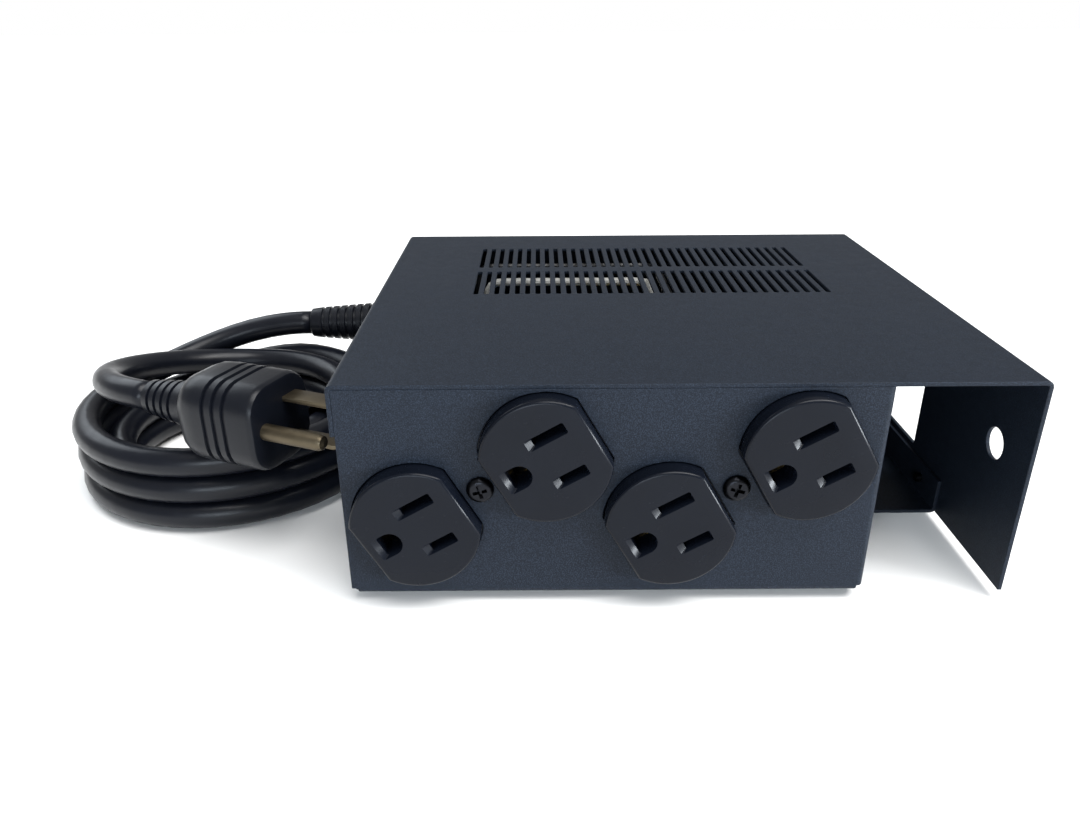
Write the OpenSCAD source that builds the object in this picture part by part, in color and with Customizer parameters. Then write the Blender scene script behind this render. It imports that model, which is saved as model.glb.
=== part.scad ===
// Corded surge protector box: a bent sheet steel case with two duplex outlets in its
// front panel, a filter board inside, an open side bay with the switch and breaker, and a
// coiled mains cord. X runs to the right, Y to the rear, Z up, in millimetres. The origin is
// on the surface that the feet stand on, under the middle of the case.

/* [Case] */
// Width over the cover
box_w = 178; // [165:1:220]
// Depth from the front panel to the rear wall
box_d = 155; // [145:1:200]
// Height from the underside of the base to the top of the cover
box_h = 61.6; // [58:0.1:80]
// Thickness of the sheet steel
sheet = 1.2; // [0.8:0.1:1.6]
// Width of the side bay over the cover
bay_w = 38; // [30:1:50]
// Distance from the front panel back to the bay's floor
bay_floor_setback = 40; // [20:1:60]
// Height of the cover's left lip
lip_h = 14; // [10:0.5:18]
// Height of the base's right flange
flange_h = 10; // [8:0.5:12]
// Length of the front panel's return flange
return_len = 12; // [8:1:16]

/* [Vents] */
// Number of slots in each row
vent_count = 35; // [10:1:40]
// Distance between slots
vent_pitch = 3.35; // [3:0.05:4]
// Width of a slot
vent_slot_w = 1.6; // [1:0.1:2]
// Length of a slot
vent_slot_len = 27; // [15:1:30]
// Distance from the front edge to the first row
vent_setback = 75; // [60:1:80]
// Distance between the rows
vent_row_gap = 5; // [4:0.5:10]

/* [Side wall] */
// Diameter of the tie hole
tie_hole_d = 9; // [6:0.5:12]
// Distance of the tie hole from the front edge
tie_hole_setback = 17.5; // [12:0.5:30]
// Height of the tie hole above the underside of the base
tie_hole_z = 36; // [20:1:45]
// Window length along the depth
window_len = 29; // [20:1:35]
// Window height
window_h = 36; // [25:1:40]
// Height of the window's lower edge above the underside of the base
window_z = 12.8; // [12:0.1:16]
// Distance from the front edge to the window
window_setback = 63; // [55:1:70]

/* [Feet] */
// Height of a rubber foot
foot_h = 3; // [2:0.5:6]
// Diameter of a rubber foot
foot_d = 12; // [8:1:16]
// Distance of a foot's centre from the edges of the base
foot_inset = 14; // [10:1:20]

/* [Outlets] */
// Tilt of a duplex outlet above the horizontal
outlet_tilt = 30; // [20:1:40]
// Height of the outlets' centres above the underside of the base
outlet_rise = 32.6; // [30:0.2:36]
// Distance between the two duplex outlets
outlet_spacing = 65.8; // [64:0.2:68]
// Distance between the two faces of one duplex
face_pitch = 38.9; // [38:0.1:39.5]
// Diameter of a face
face_d = 34; // [33:0.1:34.5]
// Distance between the flats of a face
face_flats = 28.4; // [27.5:0.1:29]
// Height of the faces in front of the panel
face_proud = 5; // [2:0.5:6]
// Clearance between a face and the panel
face_gap = 0.3; // [0.2:0.05:0.5]
// Diameter of the centre screw's head
outlet_screw_head_d = 7.2; // [6.5:0.1:8]
// Depth of an outlet's rear housing
outlet_base_depth = 21; // [18:1:25]

/* [Filter board] */
// Width of the board
board_w = 100; // [98:1:104]
// Depth of the board
board_d = 80; // [78:1:84]
// Height of the board's standoffs
standoff_h = 8; // [6:0.5:12]
// Thickness of the board
board_t = 1.6; // [1:0.2:2]

/* [Switch and breaker] */
// Width of the rocker switch's bezel along the depth
switch_w = 26; // [24:0.5:28]
// Height of the rocker switch's bezel
switch_h = 31; // [29:0.5:33]
// Height of the switch's centre above the underside of the base
switch_z = 31; // [28:0.5:33]
// Swing of the rocker from off to on, in degrees
rocker_throw = 20; // [14:1:24]
// Distance of the breaker from the front edge
breaker_setback = 45; // [42:1:47]
// Diameter of the breaker's neck
breaker_neck_d = 10; // [8:0.5:11]
// Diameter of the reset button
button_d = 6.5; // [5:0.5:7]
// Travel of the reset button when it trips
button_travel = 3; // [2:0.5:4]
// Distance of the pilot lamp from the front edge
lamp_setback = 58; // [57:0.5:59]

/* [Cord] */
// Diameter of the cord
cord_d = 9; // [8:0.5:10]
// Height of the cord's exit above the surface
cord_exit_z = 36; // [34:0.5:38]
// Distance of the cord's exit from the rear wall
cord_exit_inset = 23; // [18:1:26]
// Length of the tapered boot outside the wall
boot_len = 38.2; // [25:0.1:45]
// Diameter of an inside wire over its insulation
wire_d = 3; // [2.4:0.1:3.2]

/* [Hidden] */
$fn = 48;

// Case limits. The faces stand in front of the panel, so the case sits a little to the rear
// of the origin and the whole object is centred on it.
x_left = -box_w / 2;
x_right = box_w / 2;
y_front = -(box_d - face_proud) / 2;
y_rear = y_front + box_d;
z_base = foot_h;
z_top = z_base + box_h;
z_floor = z_base + sheet;
z_lid = z_top - sheet;
x_bay = x_right - bay_w;
x_part = x_bay - sheet;
x_base = x_left + sheet;
x_wall = x_base + sheet;
y_floor_bay = y_front + bay_floor_setback;
fit = 0.2;
eps = 0.01;

// Fasteners
screw_head_d = 6.4;
screw_head_h = 1.8;
screw_d = 3;
screw_len = 6;
cover_screw_z_left = z_top - lip_h / 2;
cover_screw_z_right = z_floor + flange_h / 2;
cover_screw_ys = [y_front + 30, y_rear - 30];
cover_screw_ys_right = [y_floor_bay + 12, y_rear - 20];
rivet_d = 3.2;
rivet_head_d = 5.4;
rivet_head_h = 0.9;
rivet_y = y_front + return_len / 2 + 1;
rivet_zs = [z_base + 12, z_top - 12];
foot_places = [[x_left + foot_inset, y_front + foot_inset], [x_left + foot_inset, y_rear - foot_inset],
    [x_right - foot_inset, y_floor_bay + foot_inset], [x_right - foot_inset, y_rear - foot_inset]];

// Outlets, each in its own frame: u along the duplex, v towards its neutral side, w inwards
panel_cx = (x_left + x_bay) / 2;
outlet_xs = [panel_cx - outlet_spacing / 2, panel_cx + outlet_spacing / 2];
outlet_z = z_base + outlet_rise;
face_plate_t = 2;
strap_t = 1.5;
strap_w = 20;
strap_len = 70;
w_plate = sheet;
w_strap = w_plate + face_plate_t;
w_base = w_strap + strap_t;
w_back = w_base + outlet_base_depth;
housing_d = 33;
slot_u = 4.3;
slot_v = 6.35;
slot_w = 2.2;
neutral_len = 8.8;
line_len = 7.2;
ground_u = -7.6;
ground_d = 5.6;
outlet_thread_d = 3.5;

// Points where wires enter the rear of an outlet, as u and v
outlet_left_line = [9, -10];
outlet_right_line = [-9, -10];
outlet_left_neutral = [9, 10];
outlet_right_neutral = [-9, 10];

// Board and what it carries
board_cx = panel_cx - 2.8;
board_y = y_front + w_back + 34.3;
board_x = board_cx - board_w / 2;
board_z = z_floor + standoff_h;
board_top = board_z + board_t;
board_hole_inset = 5;
standoff_af = 5.5;
board_hole_d = 3.2;
block_h = 11;
block_pitch = 9.5;
block_out_w = 50;
block_out_d = 10;
block_out_x = board_cx + 2;
block_out_y = board_y + 1.5;
block_out_poles = [-19, -9.5, 9.5, 19];
block_in_w = 21;
block_in_d = 10;
block_in_x = board_x + board_w - 11;
block_in_y = board_y + 42;
block_in_poles = [-5.5, 5.5];
choke_x = board_cx + 2;
choke_y = board_y + 32;
choke_od = 34;
choke_id = 18;
choke_h = 14;
choke_lift = 3;
choke_turns = 11;
choke_wire = 1.3;
varistor_d = 20;
varistor_t = 5;
varistor_y = board_y + 58;
varistor_lift = 4;
varistor_xs = [board_x + 14, board_x + 25, board_x + 36];
fuse_x = board_x + 12;
fuse_y = board_y + 13;
fuse_z = board_top + 6.5;
fuse_d = 6.3;
fuse_len = 32;
capacitor_x = board_x + 76.3;
capacitor_ys = [board_y + 18, board_y + 27];

// Side bay controls, on the partition
switch_y = y_front + window_setback + window_len / 2;
switch_cz = z_base + switch_z;
bezel_t = 2;
switch_depth = 20;
switch_body_w = switch_w - 4;
switch_body_h = switch_h - 4;
rocker_w = switch_w - 8;
rocker_h = switch_h - 9;
rocker_gap = 0.4;
rocker_r = 14;
rocker_pivot_x = x_part + bezel_t - 5;
rocker_pin_d = 2.4;
pin_gap = 0.05;
breaker_y = y_front + breaker_setback;
breaker_z = z_base + 36;
breaker_w = 14;
breaker_h = 26;
breaker_depth = 27;
breaker_neck_len = 7;
nut_af = 14;
nut_t = 2.5;
button_head = 2.5;
lamp_y = y_front + lamp_setback;
lamp_z = breaker_z;
lamp_d = 5;
tab_w = 6.3;
tab_t = 0.8;
tab_len = 8;
switch_tab_dy = 7;
switch_tab_dz = 5;
breaker_tab_dz = 6;
switch_in_y = switch_y - switch_tab_dy;
switch_out_y = switch_y + switch_tab_dy;
z_up = switch_cz + switch_tab_dz;
z_down = switch_cz - switch_tab_dz;
switch_back = x_part - switch_depth;
breaker_back = x_part - sheet - breaker_depth;
tab_end_switch = switch_back - tab_len;
tab_end_breaker = breaker_back - tab_len;

// Ground stud
stud_x = x_wall + 8;
stud_y = y_front + w_back + 14;
stud_d = 4;
stud_h = 14;
lug_t = 0.8;
lug_d = 8;
lug_reach = 8;
lug_turns = [90, 0, 45];

// Wires
z_high = z_lid - 6;
z_mid = z_high - 5;
exit_y = y_rear - cord_exit_inset;
entry_in = 18;
x_split = x_wall + entry_in;
boot_tip_x = x_base - boot_len;

// Cord coil: two columns and three layers of turns, on the surface at the left of the case
coil_x = x_left - 55;
coil_col = 42.5;
coil_y = exit_y - coil_col - cord_d / 2;
coil_z0 = 1;
coil_cols = 2;
coil_layers = 3;
tie_angle = 340;
tie_w = 10;
tie_t = 0.8;
tie_gap = 0.2;
cord_sides = 12;
wire_sides = 10;

// Route of the cord from its boot into the coil, and from the coil up to the plug
lead_route = [[boot_tip_x, exit_y, cord_exit_z], [boot_tip_x - 7, exit_y, cord_exit_z],
    [coil_x + 3, exit_y, cord_exit_z - 1], [coil_x - 6, exit_y - 0.4, cord_exit_z - 3],
    [coil_x - 15, exit_y - 2.5, cord_exit_z - 5.4]];
tail_steps = [[-32.9, 19, 29.6], [-36.9, 9.2, 32.2], [-38, -1.3, 34.7], [-36.1, -11.7, 37.1],
    [-31.5, -21.2, 39], [-23.9, -29.5, 40.5], [-14.2, -35.2, 41], [-10.5, -36.7, 41]];
tail_route = [for (step = tail_steps) [coil_x, coil_y, 0] + step];

// Plug, lying on the coil: it starts where the tail ends and points the way the tail points
plug_at = tail_route[len(tail_route) - 1];
plug_dir = plug_at - tail_route[len(tail_route) - 2];
plug_turn = atan2(plug_dir[1], plug_dir[0]);
plug_boot = 18;
plug_len = 30;
plug_w = 26;
plug_h = 26;
blade_len = 17.5;
blade_w = 6.35;
blade_t = 1.5;
blade_gap = 12.7;
ground_pin_d = 4.8;
ground_pin_len = 20;
ground_pin_drop = 11.9;

// ---------------------------------------------------------------- shared shapes

module slot_outline(length, width) {
    square([width, length - width], center = true);
    for (end = [-1, 1])
        translate([0, end * (length - width) / 2])
            circle(d = width, $fn = 16);
}

module rounded_plate(w, h, r) {
    square([w - 2 * r, h], center = true);
    square([w, h - 2 * r], center = true);
    for (i = [-1, 1], j = [-1, 1])
        translate([i * (w / 2 - r), j * (h / 2 - r)])
            circle(r = r);
}

// A flat pattern in Y and Z, made solid towards +X from x
module along_x(x, length) {
    translate([x, 0, 0])
        rotate([90, 0, 90])
            linear_extrude(length)
                children();
}

module rod_x(x, y, z, d, length) {
    translate([x, y, z])
        rotate([0, 90, 0])
            cylinder(d = d, h = length);
}

// A pan head screw whose head sits on the plane x, its shank pointing along side
module side_screw(x, y, z, side) {
    translate([x, y, z])
        rotate([0, 90 * side, 0]) {
            difference() {
                cylinder(d1 = screw_head_d, d2 = screw_head_d - 1.6, h = screw_head_h);
                for (turn = [0, 90])
                    rotate([0, 0, turn])
                        translate([-1.9, -0.4, screw_head_h - 0.9])
                            cube([3.8, 0.8, 1]);
            }
            translate([0, 0, -screw_len])
                cylinder(d = screw_d - 2 * eps, h = screw_len + eps);
        }
}

// A round wire through a list of points, its corners bent round
module wire(points) {
    tube(bent(points, 2 * wire_d), wire_d, wire_sides, [-0.3, 0.5, 0.8]);
}

function bent(p, r) = concat([p[0]],
    [for (i = [1 : len(p) - 2]) each bend(p[i - 1], p[i], p[i + 1], r)], [p[len(p) - 1]]);
function bend(a, b, c, r) =
    let (s = b + unit(a - b) * min(r, norm(a - b) * 0.45), e = b + unit(c - b) * min(r, norm(c - b) * 0.45))
    [for (k = [0 : 4]) let (t = k / 4) (1 - t) * (1 - t) * s + 2 * t * (1 - t) * b + t * t * e];

// Directions along a route, and one ring of points around each of its points
function unit(v) = v / norm(v);
function heading(p, i) = unit(p[min(i + 1, len(p) - 1)] - p[max(i - 1, 0)]);
function side_of(t, up) = unit(cross(up, t));
function ring(c, t, r, n, up) = [
    for (k = [0 : n - 1])
        c + r * cos(360 * k / n) * side_of(t, up) + r * sin(360 * k / n) * cross(t, side_of(t, up))];

module tube(route, d, n, up) {
    rings = [for (i = [0 : len(route) - 1]) ring(route[i], heading(route, i), d / 2, n, up)];
    last = len(route) - 1;
    points = [for (r = rings, p = r) p];
    sides = [for (i = [0 : last - 1], k = [0 : n - 1], half = [0, 1])
        let (a = i * n + k, b = i * n + (k + 1) % n)
        half == 0 ? [a, a + n, b] : [b, a + n, b + n]];
    start = [for (k = [0 : n - 1]) k];
    end = [for (k = [n - 1 : -1 : 0]) last * n + k];
    polyhedron(points, concat([start, end], sides));
}

// ---------------------------------------------------------------- outlet frame

module at_outlet(i) {
    translate([outlet_xs[i], y_front, outlet_z])
        rotate([-90, -outlet_tilt, 0])
            mirror([0, 1, 0])
                children();
}

function outlet_point(i, uv, y) = [
    outlet_xs[i] + uv[0] * cos(outlet_tilt) - uv[1] * sin(outlet_tilt),
    y,
    outlet_z + uv[0] * sin(outlet_tilt) + uv[1] * cos(outlet_tilt)];

module face_outline(grow) {
    intersection() {
        circle(d = face_d + 2 * grow, $fn = 72);
        square([face_flats + 2 * grow, face_d + 4 * grow], center = true);
    }
}

module both_faces() {
    for (end = [-1, 1])
        translate([end * face_pitch / 2, 0])
            children();
}

module housing_outline(d) {
    square([face_pitch, d], center = true);
    for (end = [-1, 1])
        translate([end * face_pitch / 2, 0])
            circle(d = d, $fn = 72);
}

// The three openings of one face: neutral, line and ground
module face_openings(grow) {
    translate([slot_u, slot_v])
        square([neutral_len + 2 * grow, slot_w + 2 * grow], center = true);
    translate([slot_u, -slot_v])
        square([line_len + 2 * grow, slot_w + 2 * grow], center = true);
    translate([ground_u, 0])
        circle(d = ground_d + 2 * grow, $fn = 32);
    translate([ground_u - ground_d / 4 - grow / 2, 0])
        square([ground_d / 2 + grow, ground_d + 2 * grow], center = true);
}

// ---------------------------------------------------------------- case

module base_chassis() {
    color("#23262c")
        difference() {
            union() {
                base_floor();
                front_panel();
                translate([x_base, y_front, z_base])
                    cube([sheet, box_d, box_h - sheet]);
                translate([x_base, y_rear - sheet, z_base])
                    cube([box_w - 2 * sheet, sheet, box_h - sheet]);
                right_flange();
            }
            for (y = cover_screw_ys)
                rod_x(x_base - 1, y, cover_screw_z_left, screw_d, sheet + 2);
            for (y = cover_screw_ys_right)
                rod_x(x_right - 2 * sheet - 1, y, cover_screw_z_right, screw_d, sheet + 1.5);
            for (z = rivet_zs)
                rod_x(x_part - 1, rivet_y, z, rivet_d, sheet + 2);
            rod_x(x_base - 1, exit_y, cord_exit_z, cord_d + 7, sheet + 2);
            board_hole_places()
                translate([0, 0, z_base - 1])
                    cylinder(d = board_hole_d, h = sheet + 2);
            translate([stud_x, stud_y, z_base - 1])
                cylinder(d = stud_d + fit, h = sheet + 2);
        }
}

module base_floor() {
    difference() {
        translate([x_base, y_front, z_base])
            cube([box_w - 2 * sheet, box_d, sheet]);
        translate([x_bay, y_front - 1, z_base - 1])
            cube([bay_w, bay_floor_setback + 1, sheet + 2]);
    }
}

module front_panel() {
    difference() {
        union() {
            translate([x_base, y_front, z_base])
                cube([x_bay - x_base, sheet, box_h - sheet]);
            translate([x_part, y_front, z_base])
                cube([sheet, return_len, box_h - sheet]);
        }
        for (i = [0, 1])
            at_outlet(i)
                translate([0, 0, -1])
                    linear_extrude(sheet + 2) {
                        both_faces()
                            face_outline(face_gap);
                        circle(d = outlet_thread_d + 0.4);
                    }
    }
}

module right_flange() {
    translate([x_right - 2 * sheet, y_floor_bay, z_base])
        cube([sheet, y_rear - y_floor_bay, sheet + flange_h]);
}

module bay_partition() {
    y0 = y_front + sheet;
    y1 = y_rear - sheet;
    x0 = x_part - sheet;
    color("#2a2d33")
        difference() {
            union() {
                translate([x0, y0 + 1, z_floor])
                    cube([sheet, y1 - y0 - 1, z_lid - z_floor]);
                translate([x0 - 10, y1 - sheet, z_floor])
                    cube([10 + sheet, sheet, z_lid - z_floor]);
            }
            along_x(x0 - 1, sheet + 2)
                translate([switch_y, switch_cz])
                    square([switch_body_w + fit, switch_body_h + fit], center = true);
            rod_x(x0 - 1, breaker_y, breaker_z, breaker_neck_d + fit, sheet + 2);
            rod_x(x0 - 1, lamp_y, lamp_z, lamp_d + fit, sheet + 2);
            for (z = rivet_zs)
                rod_x(x0 - 1, rivet_y, z, rivet_d, sheet + 2);
        }
}

module partition_rivets() {
    x0 = x_part - sheet;
    color("#8b8e92")
        for (z = rivet_zs) {
            rod_x(x0 - rivet_head_h, rivet_y, z, rivet_head_d, rivet_head_h);
            rod_x(x0 - eps, rivet_y, z, rivet_d, 2 * sheet + eps);
            rod_x(x_bay, rivet_y, z, rivet_head_d, rivet_head_h);
        }
}

module cover() {
    color("#1f2227")
        difference() {
            union() {
                translate([x_left, y_front, z_lid])
                    cube([box_w, box_d, sheet]);
                translate([x_left, y_front, z_top - lip_h])
                    cube([sheet, box_d, lip_h]);
                translate([x_right - sheet, y_front, z_base])
                    cube([sheet, box_d, box_h]);
            }
            for (y = cover_screw_ys)
                rod_x(x_left - 1, y, cover_screw_z_left, screw_d, sheet + 1.5);
            for (y = cover_screw_ys_right)
                rod_x(x_right - sheet - 0.5, y, cover_screw_z_right, screw_d, sheet + 2);
            rod_x(x_right - sheet - 1, y_front + tie_hole_setback, z_base + tie_hole_z,
                tie_hole_d, sheet + 2);
            translate([x_right - sheet - 1, y_front + window_setback, z_base + window_z])
                cube([sheet + 2, window_len, window_h]);
            vent_slots();
        }
}

module vent_slots() {
    first = -(vent_count - 1) / 2 * vent_pitch;
    for (row = [0, 1]) {
        y = y_front + vent_setback + row * (vent_slot_len + vent_row_gap) + vent_slot_len / 2;
        translate([0, y, z_lid - 1])
            linear_extrude(sheet + 2)
                for (i = [0 : vent_count - 1])
                    translate([first + i * vent_pitch, 0])
                        slot_outline(vent_slot_len, vent_slot_w);
    }
}

module cover_screws() {
    color("#1b1c1e") {
        for (y = cover_screw_ys)
            side_screw(x_left, y, cover_screw_z_left, -1);
        for (y = cover_screw_ys_right)
            side_screw(x_right, y, cover_screw_z_right, 1);
    }
}

module rubber_feet() {
    color("#151515")
        for (p = foot_places)
            translate([p[0], p[1], 0])
                cylinder(d1 = foot_d - 1.5, d2 = foot_d, h = foot_h);
}

// ---------------------------------------------------------------- outlets

module outlet_face(i) {
    color("#1a1b1e")
        at_outlet(i)
            difference() {
                union() {
                    translate([0, 0, -face_proud])
                        linear_extrude(face_proud + w_plate + eps)
                            both_faces()
                                face_outline(0);
                    translate([0, 0, w_plate])
                        linear_extrude(face_plate_t)
                            housing_outline(housing_d);
                }
                translate([0, 0, -face_proud - 1])
                    linear_extrude(face_proud + w_strap + 2)
                        both_faces()
                            face_openings(0);
                translate([0, 0, w_plate - 1])
                    cylinder(d = outlet_thread_d + 1, h = face_plate_t + 2);
            }
}

module outlet_strap(i) {
    color("#a9acb0")
        at_outlet(i)
            translate([0, 0, w_strap])
                linear_extrude(strap_t)
                    difference() {
                        rounded_plate(strap_len, strap_w, 4);
                        both_faces()
                            translate([-1.5, 0])
                                square([22, 16.4], center = true);
                        circle(d = outlet_thread_d);
                    }
}

module outlet_base(i) {
    color("#2b2c30")
        at_outlet(i)
            difference() {
                translate([0, 0, w_base])
                    linear_extrude(outlet_base_depth)
                        housing_outline(housing_d - 1);
                translate([0, 0, w_base - 1])
                    linear_extrude(outlet_base_depth - 2)
                        both_faces()
                            contact_cavities();
                translate([0, 0, w_base - 1])
                    cylinder(d = outlet_thread_d + 1, h = 10);
            }
}

module contact_cavities() {
    for (side = [-1, 1])
        translate([slot_u, side * slot_v])
            square([11, 6], center = true);
    translate([ground_u, 0])
        square([8, 8], center = true);
}

module outlet_contacts(i) {
    color("#c9a35a")
        at_outlet(i)
            translate([0, 0, w_base + 3])
                linear_extrude(outlet_base_depth - 6)
                    both_faces() {
                        for (side = [-1, 1], leaf = [-1, 1])
                            translate([slot_u, side * slot_v + leaf * 2])
                                square([9, 0.8], center = true);
                        translate([ground_u, 0])
                            difference() {
                                circle(d = 7.4, $fn = 32);
                                circle(d = 5.8, $fn = 32);
                            }
                    }
}

module outlet_screw(i) {
    head_h = 1.8;
    color("#26272a")
        at_outlet(i) {
            difference() {
                translate([0, 0, -head_h])
                    cylinder(d1 = outlet_screw_head_d - 2.4, d2 = outlet_screw_head_d, h = head_h);
                for (turn = [20, 110])
                    rotate([0, 0, turn])
                        translate([-1.9, -0.45, -head_h - 0.5])
                            cube([3.8, 0.9, 1.6]);
            }
            cylinder(d = outlet_thread_d - 2 * eps, h = w_base + 6);
        }
}

// ---------------------------------------------------------------- board

module board_hole_places() {
    for (x = [board_x + board_hole_inset, board_x + board_w - board_hole_inset],
         y = [board_y + board_hole_inset, board_y + board_d - board_hole_inset])
        translate([x, y, 0])
            children();
}

module filter_board() {
    color("#27543a")
        difference() {
            translate([board_x, board_y, board_z])
                cube([board_w, board_d, board_t]);
            board_hole_places()
                translate([0, 0, board_z - 1])
                    cylinder(d = board_hole_d, h = board_t + 2);
        }
}

module board_standoffs() {
    color("#b9a46a")
        board_hole_places()
            translate([0, 0, z_floor])
                difference() {
                    cylinder(d = standoff_af / cos(30), h = standoff_h, $fn = 6);
                    translate([0, 0, -1])
                        cylinder(d = board_hole_d, h = standoff_h + 2);
                }
}

module board_screws() {
    shank = board_hole_d - 2 * eps;
    color("#b4b6b8")
        board_hole_places() {
            translate([0, 0, board_top])
                cylinder(d1 = 5.6, d2 = 4.6, h = 1.8);
            translate([0, 0, board_top - 5])
                cylinder(d = shank, h = 5 + eps);
            translate([0, 0, z_base])
                cylinder(d = shank, h = 5);
        }
}

module choke_core() {
    color("#3f5a46")
        translate([choke_x, choke_y, board_top + choke_lift])
            difference() {
                cylinder(d = choke_od, h = choke_h, $fn = 72);
                translate([0, 0, -1])
                    cylinder(d = choke_id, h = choke_h + 2, $fn = 72);
            }
}

// Two windings of flat wire loops around the core's section, and their four legs
module choke_winding() {
    gap = 0.15;
    thick = choke_wire;
    mid = (choke_od + choke_id) / 4;
    ring_w = (choke_od - choke_id) / 2 + 2 * gap;
    ring_h = choke_h + 2 * gap;
    color("#b0622f")
        translate([choke_x, choke_y, board_top + choke_lift + choke_h / 2]) {
            for (half = [0, 180], k = [0 : choke_turns - 1])
                rotate([0, 0, half + 20 + k * 140 / (choke_turns - 1)])
                    translate([mid, 0, 0])
                        rotate([90, 0, 0])
                            translate([0, 0, -thick / 2])
                                linear_extrude(thick)
                                    difference() {
                                        square([ring_w + 2 * thick, ring_h + 2 * thick],
                                            center = true);
                                        square([ring_w, ring_h], center = true);
                                    }
            for (turn = [20, 160, 200, 340])
                rotate([0, 0, turn])
                    translate([choke_od / 2 + gap + thick / 2, 0, -choke_h / 2 - choke_lift])
                        cylinder(d = thick - 0.2, h = choke_lift + 2, $fn = 16);
        }
}

module varistor(i, tint) {
    color(tint)
        translate([varistor_xs[i], varistor_y, board_top]) {
            rod_x(-varistor_t / 2, 0, varistor_lift + varistor_d / 2, varistor_d, varistor_t);
            for (side = [-1, 1])
                translate([0, side * 3.75, 0])
                    cylinder(d = 1, h = varistor_lift + 2, $fn = 16);
        }
}

module thermal_fuse() {
    lead_d = 0.9;
    reach = 9;
    z = 12;
    color("#9b8a60")
        translate([varistor_xs[1] + varistor_t / 2 + 2.1, varistor_y, board_top]) {
            translate([0, -5.5, z])
                rotate([-90, 0, 0])
                    cylinder(d = 4, h = 11);
            translate([0, -reach, z])
                rotate([-90, 0, 0])
                    cylinder(d = lead_d, h = 2 * reach, $fn = 16);
            for (side = [-1, 1])
                translate([0, side * reach, 0])
                    cylinder(d = lead_d, h = z + lead_d / 2, $fn = 16);
        }
}

module film_capacitor() {
    color("#b9962c")
        translate([board_x + 62, board_y + 61, board_top])
            cube([26.5, 11, 19]);
}

module ceramic_capacitors() {
    color("#3468a8")
        for (y = capacitor_ys)
            translate([capacitor_x, y, board_top]) {
                translate([0, 1.8, 8])
                    rotate([90, 0, 0])
                        cylinder(d = 9, h = 3.6, $fn = 32);
                for (side = [-1, 1])
                    translate([side * 3, 0, 0])
                        cylinder(d = 0.8, h = 6, $fn = 16);
            }
}

module bleed_resistor() {
    z = board_top + 3;
    x = board_x + 90;
    y = board_y + 22;
    color("#b59a72") {
        rod_x(x - 4.5, y, z, 3.4, 9);
        for (side = [-1, 1]) {
            rod_x(side < 0 ? x - 7 : x + 4.5, y, z, 0.8, 2.5);
            translate([x + side * 7, y, board_top])
                cylinder(d = 0.8, h = 3.4, $fn = 16);
        }
    }
}

module cartridge_fuse() {
    color("#d8d4c6")
        translate([fuse_x, fuse_y, fuse_z])
            rotate([-90, 0, 0])
                cylinder(d = fuse_d, h = fuse_len, $fn = 32);
}

module fuse_clips() {
    clip_h = fuse_z - board_top;
    color("#c2c5c8")
        for (y = [fuse_y + 1, fuse_y + fuse_len - 7])
            difference() {
                translate([fuse_x - fuse_d / 2 - 0.6, y, board_top])
                    cube([fuse_d + 1.2, 6, clip_h + 2.4]);
                translate([fuse_x, y - 1, fuse_z])
                    rotate([-90, 0, 0])
                        cylinder(d = fuse_d, h = 8, $fn = 32);
                translate([fuse_x - fuse_d / 2 + 0.4, y - 1, fuse_z])
                    cube([fuse_d - 0.8, 8, clip_h]);
            }
}

module terminal_block_out() {
    color("#2d6b3c")
        difference() {
            translate([block_out_x - block_out_w / 2, block_out_y, board_top])
                cube([block_out_w, block_out_d, block_h]);
            for (p = block_out_poles)
                translate([block_out_x + p, block_out_y + block_out_d / 2, board_top + block_h - 2.2])
                    cylinder(d = 5, h = 3);
        }
}

module terminal_block_in() {
    color("#2d6b3c")
        difference() {
            translate([block_in_x - block_in_w / 2, block_in_y, board_top])
                cube([block_in_w, block_in_d, block_h]);
            for (p = block_in_poles)
                translate([block_in_x + p, block_in_y + block_in_d - 3.2, board_top + block_h - 2.2])
                    cylinder(d = 5, h = 3);
        }
}

module terminal_screws() {
    color("#bfc1c3") {
        for (p = block_out_poles)
            slotted_screw(block_out_x + p, block_out_y + block_out_d / 2);
        for (p = block_in_poles)
            slotted_screw(block_in_x + p, block_in_y + block_in_d - 3.2);
    }
}

module slotted_screw(x, y) {
    translate([x, y, board_top + block_h - 2.2])
        difference() {
            cylinder(d = 4.6, h = 1.6);
            translate([-3, -0.4, 0.9])
                cube([6, 0.8, 1]);
        }
}

// ---------------------------------------------------------------- side bay controls

module switch_body() {
    color("#17181a")
        difference() {
            union() {
                along_x(x_part, bezel_t)
                    translate([switch_y, switch_cz])
                        rounded_plate(switch_w, switch_h, 2);
                along_x(switch_back, switch_depth + eps)
                    translate([switch_y, switch_cz])
                        square([switch_body_w, switch_body_h], center = true);
            }
            along_x(rocker_pivot_x - 7, 20)
                translate([switch_y, switch_cz])
                    square([rocker_w + 2 * rocker_gap, rocker_h + 2 * rocker_gap], center = true);
            translate([rocker_pivot_x, switch_y - rocker_w / 2 - 2, switch_cz])
                rotate([-90, 0, 0])
                    cylinder(d = rocker_pin_d + 2 * pin_gap, h = rocker_w + 4);
        }
}

// The rocker is a cylinder segment with a shallow dished front, pressed at its lower end
module switch_rocker() {
    half = rocker_h / 2 - 0.9;
    color("#b3261e")
        translate([rocker_pivot_x, switch_y, switch_cz])
            rotate([0, rocker_throw / 2, 0]) {
                rotate([90, 0, 0])
                    translate([0, 0, -rocker_w / 2])
                        linear_extrude(rocker_w)
                            difference() {
                                polygon([[-3.5, -4], [3, -half], [8.6, -half], [6.8, 0],
                                    [8.6, half], [3, half], [-3.5, 4]]);
                                translate([6.8 + rocker_r * 2, 0])
                                    circle(r = rocker_r * 2);
                            }
                translate([0, -rocker_w / 2 - 1.6, 0])
                    rotate([-90, 0, 0])
                        cylinder(d = rocker_pin_d, h = rocker_w + 3.2);
            }
}

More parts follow.
